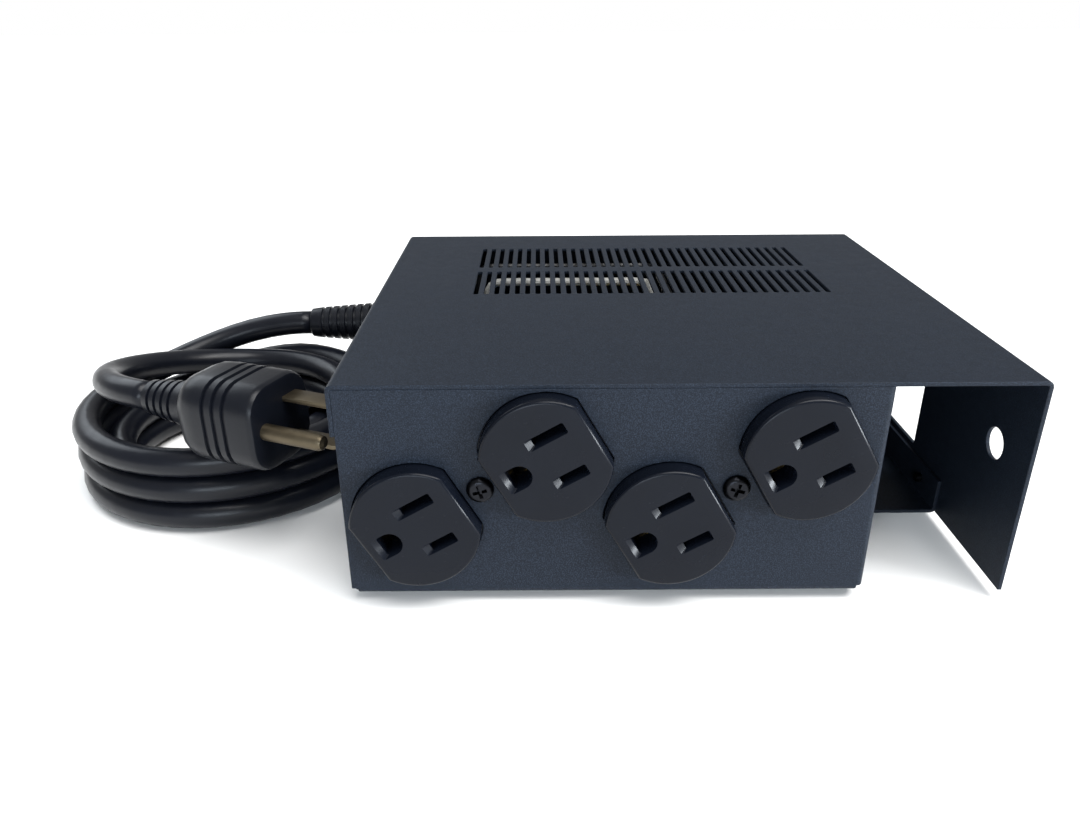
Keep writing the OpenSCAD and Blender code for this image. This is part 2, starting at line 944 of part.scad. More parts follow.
module breaker_body() {
    color("#1c1d20")
        difference() {
            union() {
                along_x(breaker_back, breaker_depth)
                    translate([breaker_y, breaker_z])
                        rounded_plate(breaker_w, breaker_h, 1.5);
                rod_x(x_part - sheet - eps, breaker_y, breaker_z, breaker_neck_d,
                    breaker_neck_len + eps);
            }
            rod_x(x_part - sheet - 8, breaker_y, breaker_z, button_d + 0.3, 20);
        }
}

module breaker_nut() {
    color("#9a9da1")
        along_x(x_part, nut_t)
            translate([breaker_y, breaker_z])
                difference() {
                    circle(d = nut_af / cos(30), $fn = 6);
                    circle(d = breaker_neck_d);
                }
}

module reset_button() {
    front = x_part - sheet + breaker_neck_len + button_head;
    color("#d8d8d4")
        rod_x(front - 12, breaker_y, breaker_z, button_d, 12);
}

// Flat push-on tabs behind the switch and the breaker
module tab_terminals() {
    color("#c4b486") {
        for (dy = [-1, 1], dz = [-1, 1])
            tab(switch_back, switch_y + dy * switch_tab_dy, switch_cz + dz * switch_tab_dz);
        for (dz = [-1, 1])
            tab(breaker_back, breaker_y, breaker_z + dz * breaker_tab_dz);
    }
}

module tab(x, y, z) {
    translate([x - tab_len, y - tab_w / 2, z - tab_t / 2])
        cube([tab_len, tab_w, tab_t]);
}

module lamp_body() {
    color("#24262a")
        rod_x(x_part - sheet - 14, lamp_y, lamp_z, lamp_d, 14 + sheet);
}

module lamp_lens() {
    color("#3fae49")
        translate([x_part, lamp_y, lamp_z])
            rotate([0, 90, 0])
                rotate_extrude()
                    polygon([[0, 0], [3.6, 0], [3.6, 0.8], [2.6, 1.4], [2.2, 2.4], [1.2, 3], [0, 3.2]]);
}

// ---------------------------------------------------------------- ground

module ground_stud() {
    color("#b89a4c") {
        translate([stud_x, stud_y, z_base + 0.4])
            cylinder(d = stud_d, h = stud_h);
        translate([stud_x, stud_y, z_floor])
            cylinder(d = 8, h = 1);
    }
}

module ground_nut() {
    color("#b0b3b6")
        translate([stud_x, stud_y, lug_z(3)])
            difference() {
                cylinder(d = 7 / cos(30), h = 3.2, $fn = 6);
                translate([0, 0, -1])
                    cylinder(d = stud_d, h = 6);
            }
}

function lug_z(i) = z_floor + 1 + i * (lug_t + 0.05);
function lug_end(i) = [
    stud_x + lug_reach * cos(lug_turns[i]),
    stud_y + lug_reach * sin(lug_turns[i]),
    lug_z(i) + wire_d / 2];

module ground_lugs() {
    color("#c9ccce")
        for (i = [0 : 2])
            translate([stud_x, stud_y, lug_z(i)])
                rotate([0, 0, lug_turns[i]])
                    linear_extrude(lug_t)
                        difference() {
                            union() {
                                circle(d = lug_d);
                                translate([0, -1.5])
                                    square([lug_reach, 3]);
                            }
                            circle(d = stud_d);
                        }
}

// ---------------------------------------------------------------- wires

module line_lead() {
    y = exit_y + 1.6;
    z = cord_exit_z + 1;
    x = tab_end_breaker - 5;
    z_tab = breaker_z + breaker_tab_dz;
    color("#17171a")
        wire([[x_split, y, z], [x_split + 8, y, z], [x_split + 8, y, z_high], [x, y, z_high],
            [x, breaker_y, z_high], [x, breaker_y, z_tab], [tab_end_breaker, breaker_y, z_tab]]);
}

module neutral_lead() {
    y = exit_y - 1.6;
    z = cord_exit_z + 1;
    x = tab_end_switch - 16;
    color("#dcdcd8")
        wire([[x_split, y, z], [x_split + 12, y, z], [x_split + 12, y, z_mid], [x, y, z_mid],
            [x, switch_out_y, z_mid], [x, switch_out_y, z_up], [tab_end_switch, switch_out_y, z_up]]);
}

module ground_lead() {
    end = lug_end(0);
    x = stud_x;
    z = cord_exit_z - 1.8;
    color("#2f7d3b")
        wire([[x_split, exit_y, z], [x_split + 6, exit_y, z], [x_split + 6, exit_y - 6, z - 6],
            [x, exit_y - 20, z - 8], [x, end[1] + 8, z - 8], [x, end[1] + 4, end[2] + 3],
            end + [0, 0.1, 0]]);
}

module breaker_jumper() {
    x = tab_end_breaker - 5;
    z = breaker_z - breaker_tab_dz;
    color("#17171a")
        wire([[tab_end_breaker, breaker_y, z], [x, breaker_y, z], [x, switch_in_y, z_up],
            [tab_end_switch, switch_in_y, z_up]]);
}

module switch_leads() {
    line_x = block_in_x + block_in_poles[0];
    neutral_x = block_in_x + block_in_poles[1];
    wire_y = block_in_y + 2.2;
    z_end = board_top + block_h;
    color("#17171a")
        wire([[tab_end_switch, switch_in_y, z_down], [line_x, switch_in_y, z_down],
            [line_x, wire_y, z_down + 3], [line_x, wire_y, z_end]]);
    color("#dcdcd8")
        wire([[tab_end_switch, switch_out_y, z_down], [tab_end_switch - 1.6, switch_out_y, z_down],
            [neutral_x, wire_y - 6, z_down], [neutral_x, wire_y, z_down], [neutral_x, wire_y, z_end]]);
}

function outlet_wire(i, uv, pole) = [
    outlet_point(i, uv, y_front + w_back),
    outlet_point(i, uv, y_front + w_back + 6),
    [block_out_x + pole, block_out_y - 6, board_top + 5],
    [block_out_x + pole, block_out_y, board_top + 5]];

module outlet_line_leads() {
    color("#17171a") {
        wire(outlet_wire(0, outlet_left_line, block_out_poles[0]));
        wire(outlet_wire(1, outlet_right_line, block_out_poles[3]));
    }
}

module outlet_neutral_leads() {
    color("#dcdcd8") {
        wire(outlet_wire(0, outlet_left_neutral, block_out_poles[1]));
        wire(outlet_wire(1, outlet_right_neutral, block_out_poles[2]));
    }
}

module outlet_ground_leads() {
    from_left = outlet_point(0, [-6, 0], y_front + w_back);
    from_right = outlet_point(1, [0, 0], y_front + w_back);
    end_left = lug_end(1);
    end_right = lug_end(2);
    y = y_front + w_back;
    out = [cos(45), sin(45), 0];
    color("#2f7d3b") {
        wire([from_left, [from_left[0], y + 6, from_left[2]],
            [end_left[0] + 5, stud_y, end_left[2] + 6], end_left + [2, 0, 1],
            end_left + [0.1, 0, 0]]);
        wire([from_right, [from_right[0], y + 6, from_right[2]], [from_right[0], y + 6, z_mid + 1],
            [end_right[0] + 12, y + 20, z_mid + 1], [end_right[0] + 12, y + 24, 22],
            end_right + 4 * out + [0, 0, 3], end_right + 0.1 * out]);
    }
}

// ---------------------------------------------------------------- cord

module strain_relief() {
    hole = cord_d + fit;
    color("#141416")
        difference() {
            union() {
                rod_x(x_wall, exit_y, cord_exit_z, cord_d + 10, 4);
                rod_x(x_base - 3, exit_y, cord_exit_z, cord_d + 10, 3);
                rod_x(x_base - eps, exit_y, cord_exit_z, cord_d + 7 - 2 * eps, sheet + 2 * eps);
                translate([x_base - 3, exit_y, cord_exit_z])
                    rotate([0, -90, 0])
                        cylinder(d1 = cord_d + 8, d2 = cord_d + 2.4, h = boot_len - 3);
            }
            rod_x(boot_tip_x - 1, exit_y, cord_exit_z, hole, boot_len + 20);
        }
}

module cord_entry() {
    color("#1b1c1f")
        rod_x(boot_tip_x, exit_y, cord_exit_z, cord_d, x_split - boot_tip_x);
}

module cord_lead() {
    color("#1b1c1f")
        tube(lead_route, cord_d, cord_sides, [0, 0, 1]);
}

module cord_tail() {
    color("#1b1c1f")
        tube(tail_route, cord_d, cord_sides, [0, 0, 1]);
}

module cord_coil() {
    color("#1b1c1f")
        translate([coil_x, coil_y, coil_z0])
            rotate_extrude($fn = 96)
                translate([coil_col - coil_cols * cord_d / 2, 0])
                    coil_section(coil_cols * cord_d, coil_layers * cord_d);
}

module coil_section(w, h) {
    r = cord_d / 2;
    translate([r, 0])
        square([w - 2 * r, h]);
    translate([0, r])
        square([w, h - 2 * r]);
    for (x = [r, w - r], y = [r, h - r])
        translate([x, y])
            circle(r = r, $fn = 32);
}

module cord_tie() {
    w = coil_cols * cord_d + 2 * tie_gap + 0.6;
    h = coil_layers * cord_d + 2 * tie_gap;
    color("#2b2c2f")
        translate([coil_x, coil_y, 0])
            rotate([0, 0, tie_angle])
                translate([coil_col, 0, coil_z0 + coil_layers * cord_d / 2])
                    rotate([90, 0, 0])
                        translate([0, 0, -tie_w / 2])
                            linear_extrude(tie_w)
                                difference() {
                                    rounded_plate(w + 2 * tie_t, h + 2 * tie_t, 4);
                                    rounded_plate(w, h, 3.2);
                                }
}

// The plug's own frame: x towards the blades, y across the blades, z up
module at_plug() {
    translate(plug_at)
        rotate([0, 0, plug_turn])
            children();
}

module plug_body() {
    color("#1b1c1f")
        at_plug()
            union() {
                rotate([0, 90, 0])
                    cylinder(d1 = cord_d + 1.6, d2 = cord_d + 6, h = plug_boot + eps);
                translate([plug_boot, 0, 0])
                    rotate([90, 0, 90])
                        linear_extrude(plug_len)
                            plug_outline();
            }
}

module plug_outline() {
    rounded_plate(plug_w, plug_h, 8);
}

// Two flat blades above and the round ground pin below, lying on the plug's side
module plug_blades() {
    x0 = plug_boot + plug_len;
    color("#c8b98a")
        at_plug()
            union() {
                for (side = [-1, 1])
                    translate([x0, 4.2 - blade_w / 2, side * blade_gap / 2 - blade_t / 2])
                        cube([blade_len, blade_w, blade_t]);
                translate([x0, 4.2 - ground_pin_drop, 0])
                    rotate([0, 90, 0])
                        cylinder(d = ground_pin_d, h = ground_pin_len, $fn = 32);
            }
}

// ---------------------------------------------------------------- nodes

base_chassis();
bay_partition();
partition_rivets();
cover();
cover_screws();
rubber_feet();
outlet_face(0);  // outlet_left_face
outlet_strap(0);  // outlet_left_strap
outlet_base(0);  // outlet_left_base
outlet_contacts(0);  // outlet_left_contacts
outlet_screw(0);  // outlet_left_screw
outlet_face(1);  // outlet_right_face
outlet_strap(1);  // outlet_right_strap
outlet_base(1);  // outlet_right_base
outlet_contacts(1);  // outlet_right_contacts
outlet_screw(1);  // outlet_right_screw
filter_board();
board_standoffs();
board_screws();
choke_core();
choke_winding();
varistor(0, "#2c5f9e");  // varistor_line_neutral
varistor(1, "#2c5f9e");  // varistor_line_ground
varistor(2, "#2c5f9e");  // varistor_neutral_ground
thermal_fuse();
film_capacitor();
ceramic_capacitors();
bleed_resistor();
cartridge_fuse();
fuse_clips();
terminal_block_out();
terminal_block_in();
terminal_screws();
switch_body();
switch_rocker();
breaker_body();
breaker_nut();
reset_button();
tab_terminals();
lamp_body();
lamp_lens();
ground_stud();
ground_nut();
ground_lugs();
line_lead();
neutral_lead();
ground_lead();
breaker_jumper();
switch_leads();
outlet_line_leads();
outlet_neutral_leads();
outlet_ground_leads();
strain_relief();
cord_entry();
cord_lead();
cord_coil();
cord_tail();
cord_tie();
plug_body();
plug_blades();
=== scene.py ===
import bmesh
import bpy
import math
from mathutils import Matrix, Vector
from mathutils.geometry import delaunay_2d_cdt


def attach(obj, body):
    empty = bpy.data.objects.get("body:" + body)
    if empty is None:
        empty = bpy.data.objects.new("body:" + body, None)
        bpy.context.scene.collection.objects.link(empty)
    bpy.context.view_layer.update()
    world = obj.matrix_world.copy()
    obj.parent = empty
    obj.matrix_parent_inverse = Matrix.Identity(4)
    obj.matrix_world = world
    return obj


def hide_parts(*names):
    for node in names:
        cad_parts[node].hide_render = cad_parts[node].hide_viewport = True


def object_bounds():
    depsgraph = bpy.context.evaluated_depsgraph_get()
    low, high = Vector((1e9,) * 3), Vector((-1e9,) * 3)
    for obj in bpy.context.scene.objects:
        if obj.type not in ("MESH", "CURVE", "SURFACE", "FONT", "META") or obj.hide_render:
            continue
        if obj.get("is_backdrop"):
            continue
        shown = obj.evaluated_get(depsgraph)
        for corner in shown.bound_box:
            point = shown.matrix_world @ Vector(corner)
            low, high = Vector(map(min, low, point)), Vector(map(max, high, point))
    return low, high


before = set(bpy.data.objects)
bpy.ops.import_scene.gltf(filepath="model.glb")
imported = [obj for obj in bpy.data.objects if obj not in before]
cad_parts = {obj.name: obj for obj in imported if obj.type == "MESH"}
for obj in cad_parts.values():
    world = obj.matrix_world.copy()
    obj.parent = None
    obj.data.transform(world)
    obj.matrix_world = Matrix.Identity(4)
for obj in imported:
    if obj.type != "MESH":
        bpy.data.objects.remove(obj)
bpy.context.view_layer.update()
mm = 0.001
case = {
    "left": -89.0, "right": 89.0, "front": -75.0, "rear": 80.0, "base": 3.0, "top": 64.6,
    "sheet": 1.2, "bend": 1.7, "bay": 51.0, "bayFloor": -35.0,
}

cameraSetup = {
    "place": (-0.0364, -0.2675, 0.1463),
    "pitch": 24.45,  # degrees down from level
    "roll": -0.35,
    "lens": 28.7,
    "sensor": 36,
    "clip": (0.01, 40),
}
cameraData = bpy.data.cameras.new("studioCamera")
cameraData.lens = cameraSetup["lens"]
cameraData.sensor_width = cameraSetup["sensor"]
cameraData.clip_start, cameraData.clip_end = cameraSetup["clip"]
camera = bpy.data.objects.new("studioCamera", cameraData)
bpy.context.scene.collection.objects.link(camera)
camera.matrix_world = (
    Matrix.Translation(cameraSetup["place"])
    @ Matrix.Rotation(math.radians(90 - cameraSetup["pitch"]), 4, "X")
    @ Matrix.Rotation(math.radians(cameraSetup["roll"]), 4, "Z")
)
bpy.context.scene.camera = camera

# kind, place, aim, size in metres or angle in degrees, strength, tint
studioLights = {
    "skyLight": ("SUN", (0.25, -0.30, 1.0), (0, 0, 0), 42, 3.1, (1, 1, 1)),
    "keyLight": ("AREA", (0.45, -0.25, 0.75), (0, 0, 0.03), (0.30, 0.30), 3.0, (1, 0.98, 0.95)),
    "edgeLight": ("AREA", (-0.55, 0.35, 0.45), (-0.05, 0, 0.03), (0.5, 0.4), 2.0, (0.86, 0.93, 1)),
    "glintLight": ("AREA", (1.60, -0.80, 0.17), (0, -0.075, 0.035), (0.95, 0.34), 52, (0.88, 0.94, 1)),
    "bayLight": ("AREA", (-0.16, -0.80, 0.22), (0.08, -0.02, 0.03), (0.35, 0.25), 2.5, (0.80, 0.90, 1)),
}
for name, (kind, place, aim, size, strength, tint) in studioLights.items():
    data = bpy.data.lights.new(name, kind)
    data.energy, data.color = strength, tint
    if kind == "SUN":
        data.angle = math.radians(size)
    else:
        data.shape, data.size, data.size_y = "RECTANGLE", size[0], size[1]
    lamp = bpy.data.objects.new(name, data)
    lamp.location = place
    lamp.rotation_euler = (Vector(aim) - Vector(place)).to_track_quat("-Z", "Y").to_euler()
    bpy.context.scene.collection.objects.link(lamp)
print("camera and lights placed")

meshing = {
    "mergeWithin": 2e-6,  # metres
    "facingWeight": 0.05,  # lets a face that looks the right way win over a nearer one
    "fillWithin": 1e-5,  # millimetres, on a flat outline
    "spinLimit": 1.2,  # radians either way for a screw's turn
}


def linear(hexColour):
    value = hexColour.lstrip("#")
    channels = [int(value[i : i + 2], 16) / 255 for i in (0, 2, 4)]
    return [c / 12.92 if c <= 0.04045 else ((c + 0.055) / 1.055) ** 2.4 for c in channels] + [1.0]


def addNode(tree, kind, inputs=None, **settings):
    node = tree.nodes.new(kind)
    for key, value in settings.items():
        setattr(node, key, value)
    for key, value in (inputs or {}).items():
        if isinstance(value, bpy.types.NodeSocket):
            tree.links.new(value, node.inputs[key])
        else:
            node.inputs[key].default_value = value
    return node


def eased(value, start, end):
    t = min(1, max(0, (value - start) / (end - start)))
    return t * t * (3 - 2 * t)


def meshObject(name, mesh, material=None):
    piece = bpy.data.objects.new(name, mesh)
    bpy.context.scene.collection.objects.link(piece)
    if material:
        mesh.materials.clear()
        mesh.materials.append(material)
    return piece


def fromMesher(name, mesher, material, smoothAngle=35, outward=None):
    # merges doubles, turns the faces outward and shades by angle
    # outward gives a point on the surface and the direction it faces
    bmesh.ops.remove_doubles(mesher, verts=mesher.verts, dist=meshing["mergeWithin"])
    bmesh.ops.recalc_face_normals(mesher, faces=mesher.faces)
    if outward:
        spot, facing = Vector(outward[0]), Vector(outward[1])
        nearest = min(mesher.faces, key=lambda f: (f.calc_center_median() - spot).length
                      - meshing["facingWeight"] * abs(f.normal.dot(facing)))
        if nearest.normal.dot(facing) < 0:
            bmesh.ops.reverse_faces(mesher, faces=mesher.faces)
    limit = math.radians(smoothAngle)
    for face in mesher.faces:
        face.smooth = True
    for edge in mesher.edges:
        edge.smooth = edge.calc_face_angle(math.pi) < limit
    mesh = bpy.data.meshes.new(name)
    mesher.to_mesh(mesh)
    mesher.free()
    return meshObject(name, mesh, material)


def settled(piece, *steps):
    # runs modifiers on a piece once and keeps the plain result; a step is a kind and its settings
    for kind, settings in steps:
        modifier = piece.modifiers.new(kind.lower(), kind)
        for key, value in settings.items():
            setattr(modifier, key, value)
    evaluated = piece.evaluated_get(bpy.context.evaluated_depsgraph_get())
    mesh = bpy.data.meshes.new_from_object(evaluated)
    piece.modifiers.clear()
    piece.data = mesh
    return piece


def belongs(piece, body, slot, *nodes):
    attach(piece, body)
    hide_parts(*nodes)


def grown(name, inputs, build, material, vertices=((0, 0, 0),), facings=None):
    # runs a geometry node tree over the given vertices and keeps its plain mesh
    tree = bpy.data.node_groups.new(name, "GeometryNodeTree")
    tree.interface.new_socket(name="Geometry", in_out="OUTPUT", socket_type="NodeSocketGeometry")
    tree.interface.new_socket(name="Geometry", in_out="INPUT", socket_type="NodeSocketGeometry")
    kinds = {int: "NodeSocketInt", float: "NodeSocketFloat", tuple: "NodeSocketVector"}
    sockets = {
        key: tree.interface.new_socket(name=key, in_out="INPUT", socket_type=kinds[type(value)])
        for key, value in inputs.items()
    }
    given = addNode(tree, "NodeGroupInput").outputs
    built = build(tree, given)
    solid = addNode(tree, "GeometryNodeRealizeInstances", {"Geometry": built})
    coated = addNode(tree, "GeometryNodeSetMaterial", {
        "Geometry": solid.outputs["Geometry"], "Material": material})
    addNode(tree, "NodeGroupOutput", {"Geometry": coated.outputs["Geometry"]})
    mesh = bpy.data.meshes.new(name)
    mesh.from_pydata(vertices, [], [])
    if facings:
        mesh.attributes.new("facing", "FLOAT_VECTOR", "POINT").data.foreach_set(
            "vector", [c for facing in facings for c in facing])
    piece = meshObject(name, mesh)
    modifier = piece.modifiers.new(name, "NODES")
    modifier.node_group = tree
    for key, value in inputs.items():
        modifier[sockets[key].identifier] = value
    settled(piece)
    bpy.data.node_groups.remove(tree)
    return piece


def setOut(name, template, places, facings, seed, material):
    # one copy of the template at each place, its Z along the facing, turned by a fixed random angle
    def build(tree, given):
        facing = addNode(tree, "GeometryNodeInputNamedAttribute", {"Name": "facing"},
                         data_type="FLOAT_VECTOR")
        aimed = addNode(tree, "FunctionNodeAlignRotationToVector",
                        {"Vector": facing.outputs["Attribute"]}, axis="Z")
        spin = addNode(tree, "FunctionNodeRandomValue", {
            2: -meshing["spinLimit"], 3: meshing["spinLimit"], "Seed": given["seed"]}, data_type="FLOAT")
        turned = addNode(tree, "FunctionNodeAxisAngleToRotation", {
            "Axis": (0, 0, 1), "Angle": spin.outputs[1]})
        both = addNode(tree, "FunctionNodeRotateRotation", {
            "Rotation": aimed.outputs["Rotation"], "Rotate By": turned.outputs["Rotation"]},
            rotation_space="LOCAL")
        shape = addNode(tree, "GeometryNodeObjectInfo", {"Object": template, "As Instance": True})
        return addNode(tree, "GeometryNodeInstanceOnPoints", {
            "Points": given["Geometry"], "Instance": shape.outputs["Geometry"],
            "Rotation": both.outputs["Rotation"]}).outputs["Instances"]

    piece = grown(name, {"seed": seed}, build, material, places, facings)
    bpy.data.objects.remove(template)
    return piece


def circlePoints(centre, radius, steps):
    return [
        (centre[0] + radius * math.cos(2 * math.pi * k / steps),
         centre[1] + radius * math.sin(2 * math.pi * k / steps))
        for k in range(steps)
    ]


def roundedRect(centre, width, height, radius, steps=5):
    points = []
    for quarter, (sx, sy) in enumerate(((1, 1), (-1, 1), (-1, -1), (1, -1))):
        cx, cy = centre[0] + sx * (width / 2 - radius), centre[1] + sy * (height / 2 - radius)
        for k in range(steps + 1):
            a = math.pi / 2 * (quarter + k / steps)
            points.append((cx + radius * math.cos(a), cy + radius * math.sin(a)))
    return points


def addPlate(mesher, outline, holes, place):
    # fills a flat outline with holes; place maps a flat point in millimetres to its spot
    flat, faces = [], []
    for loop in [outline, *holes]:
        faces.append(list(range(len(flat), len(flat) + len(loop))))
        flat += [Vector(p) for p in loop]
    verts, _, filled, *_ = delaunay_2d_cdt(flat, [], faces, 2, meshing["fillWithin"])
    placed = [mesher.verts.new(place(v)) for v in verts]
    for face in filled:
        mesher.faces.new([placed[i] for i in face])


def addLoops(mesher, loops, closed=True, ends=(False, False)):
    # joins equal loops of points one after another, and fills the ends asked for
    rings = [[mesher.verts.new(p) for p in loop] for loop in loops]
    count = len(rings[0])
    for a, b in zip(rings, rings[1:]):
        for k in range(count if closed else count - 1):
            n = (k + 1) % count
            mesher.faces.new((a[k], a[n], b[n], b[k]))
    for wanted, ring in zip(ends, (rings[0], rings[-1])):
        if wanted:
            mesher.faces.new(ring)


def addLathe(mesher, profile, matrix, steps=32):
    # profile is (radius, height) pairs; a radius of zero closes the end
    rings = []
    for radius, height in profile:
        if radius < 1e-7:
            rings.append([mesher.verts.new(matrix @ Vector((0, 0, height)))])
        else:
            rings.append([mesher.verts.new(matrix @ Vector((x, y, height)))
                          for x, y in circlePoints((0, 0), radius, steps)])
    for low, high in zip(rings, rings[1:]):
        for k in range(steps):
            n = (k + 1) % steps
            corners = [low[k % len(low)], low[n % len(low)], high[n % len(high)], high[k % len(high)]]
            unique = list(dict.fromkeys(corners))
            if len(unique) > 2:
                mesher.faces.new(unique)


def at(x, y, z):
    return Vector((x, y, z)) * mm


def addBend(mesher, start, end, intoA, intoB, radius, steps=5):
    # a rounded fold from start to end, between two plates that run off along intoA and intoB
    a, b = Vector(intoA) * radius, Vector(intoB) * radius
    loops = []
    for k in range(steps + 1):
        t = math.pi / 2 * k / steps
        lift = a + b - b * math.cos(t) - a * math.sin(t)
        loops.append([(Vector(p) + lift) * mm for p in (start, end)])
    addLoops(mesher, loops, closed=False)


# Each finish has two colours it drifts between, its roughness, and its bump depth, grain and cloud
# sizes in millimetres. Wear is how far the roughness varies either way, shine the specular level.
finishDefaults = dict(cloud=6, wear=0.12, shine=0.5)
finishShared = {"wearSize": 3.5, "wearRange": (0.3, 0.7), "bumpStrength": 0.8, "clearIor": 1.49}
finishes = {
    # polyester powder on steel: a fine pebble over a flat blue-black, with lighter specks painted into its
    # colour as highlights for the sparkle it shows in side light
    "texturedPowderCoat": dict(
        colours=("#10151d", "#141a23"), rough=0.50, depth=0.035, grain=0.45, cloud=40, shine=0.14,
        wear=0.04, paintedSparkle=dict(tint="#333d4c", size=0.27, start=0.46, full=0.84, share=0.7)),
    # moulded nylon: even satin black, smooth enough to show a soft streak
    "mouldedNylonFace": dict(
        colours=("#080b12", "#0c1018"), rough=0.25, depth=0.006, grain=1.4, cloud=18, shine=0.15),
    # glass filled phenolic, dull from its filler
    "mouldedPhenolicHousing": dict(
        colours=("#1d1e21", "#232428"), rough=0.55, depth=0.02, grain=1.0, cloud=18),
    # black oxide over steel: dark, with a hard narrow glint
    "blackOxideSteel": dict(colours=("#1c1d20", "#2b2c30"), rough=0.30, depth=0.006, grain=0.7, metal=1.0),
    # barrel plated zinc: pale, softly mottled by tumbling
    "zincPlatedSteel": dict(colours=("#a9acb0", "#c3c5c8"), rough=0.34, depth=0.01, grain=0.8, metal=1.0),
    # rolled brass strip: warm, long soft reflections
    "rolledBrass": dict(colours=("#b3924f", "#cbab68"), rough=0.30, depth=0.006, grain=0.8, metal=1.0),
    # nickel over brass pins, a little dulled by handling
    "nickelPlatedBrass": dict(
        colours=("#524a3c", "#675e4e"), rough=0.46, depth=0.006, grain=0.6, metal=1.0),
    # compression moulded rubber: flat black with a chalky bloom
    "mouldedRubberFoot": dict(colours=("#101011", "#161618"), rough=0.74, depth=0.05, grain=0.8, cloud=8),
    # flexible vinyl moulded over the cord: satin, slightly oily look
    "overmouldedPlugPvc": dict(
        colours=("#0a0c12", "#0f1219"), rough=0.34, depth=0.02, grain=1.0, cloud=16, shine=0.22),
    # polished mould: gloss black that mirrors the room softly
    "polishedRocker": dict(colours=("#0b0c0f", "#0f1013"), rough=0.18, depth=0.004, grain=1.5, shine=0.4),
    # spark eroded mould: fine matt black round the rocker
    "mouldedSwitchBezel": dict(
        colours=("#0e1014", "#13151a"), rough=0.42, depth=0.015, grain=0.6, shine=0.25),
    # acetal button, slightly waxy off white
    "mouldedAcetalButton": dict(colours=("#c8c6bd", "#d2d0c8"), rough=0.34, depth=0.006, grain=1.0),
    # solder mask over glass laminate: glossy green with the weave just showing
    "solderMaskLaminate": dict(colours=("#174a30", "#1c5638"), rough=0.30, depth=0.01, grain=2.0),
    # epoxy coated ferrite: dull grey green
    "coatedFerrite": dict(colours=("#3c4f43", "#4a5f50"), rough=0.5, depth=0.02, grain=1.0),
    # enamelled copper: metal under amber varnish
    "enamelledCopper": dict(colours=("#8d4a1f", "#a9602c"), rough=0.28, depth=0.004, grain=0.8, metal=1.0),
    # dipped epoxy: rounded gloss blue
    "dippedEpoxyDisc": dict(colours=("#1f4d86", "#285b99"), rough=0.34, depth=0.01, grain=1.6),
    # moulded polyester box, plain warm yellow
    "mouldedFilmCapacitor": dict(colours=("#c69a22", "#d5aa30"), rough=0.36, depth=0.008, grain=1.2),
    # dipped ceramic: paler blue, thin gloss
    "dippedCeramicDisc": dict(colours=("#3577ab", "#3f84ba"), rough=0.34, depth=0.01, grain=1.2),
    # baked lacquer: tan and slightly uneven
    "lacqueredResistor": dict(colours=("#a58c5e", "#b59a6c"), rough=0.4, depth=0.01, grain=0.9),
    # moulded polyamide: mid green, dry sheen
    "mouldedTerminalBlock": dict(colours=("#23663a", "#2b7344"), rough=0.44, depth=0.01, grain=1.0),
    # extruded vinyl insulation, three colours with the same soft line of light along them
    "extrudedWireBlack": dict(colours=("#131416", "#191a1d"), rough=0.38, depth=0.006, grain=1.2),
    "extrudedWireWhite": dict(colours=("#cfcfca", "#dbdbd6"), rough=0.40, depth=0.006, grain=1.2),
    "extrudedWireGreen": dict(colours=("#1d6a33", "#257a3e"), rough=0.40, depth=0.006, grain=1.2),
    # vinyl strap: black with a slight shine
    "vinylTieStrap": dict(colours=("#131416", "#191a1d"), rough=0.34, depth=0.01, grain=0.8),
    # extruded cord jacket: satin black with faint die lines that run along it
    "extrudedCordJacket": dict(
        colours=("#0a0c12", "#10131b"), rough=0.32, depth=0.03, grain=1.0, cloud=22, shine=0.24,
        alongUv=(25, 1.4)),  # length and width of a die line
    # moulded acrylic: amber, lit through
    "amberAcrylicLens": dict(
        colours=("#ff8a1c", "#ff9630"), rough=0.12, depth=0.002, grain=1.0, clear=0.85),
    # drawn glass: clear with a faint cold tint
    "drawnFuseGlass": dict(colours=("#e8efee", "#eef4f3"), rough=0.05, depth=0.001, grain=2.0, clear=0.85),
}
made = {}
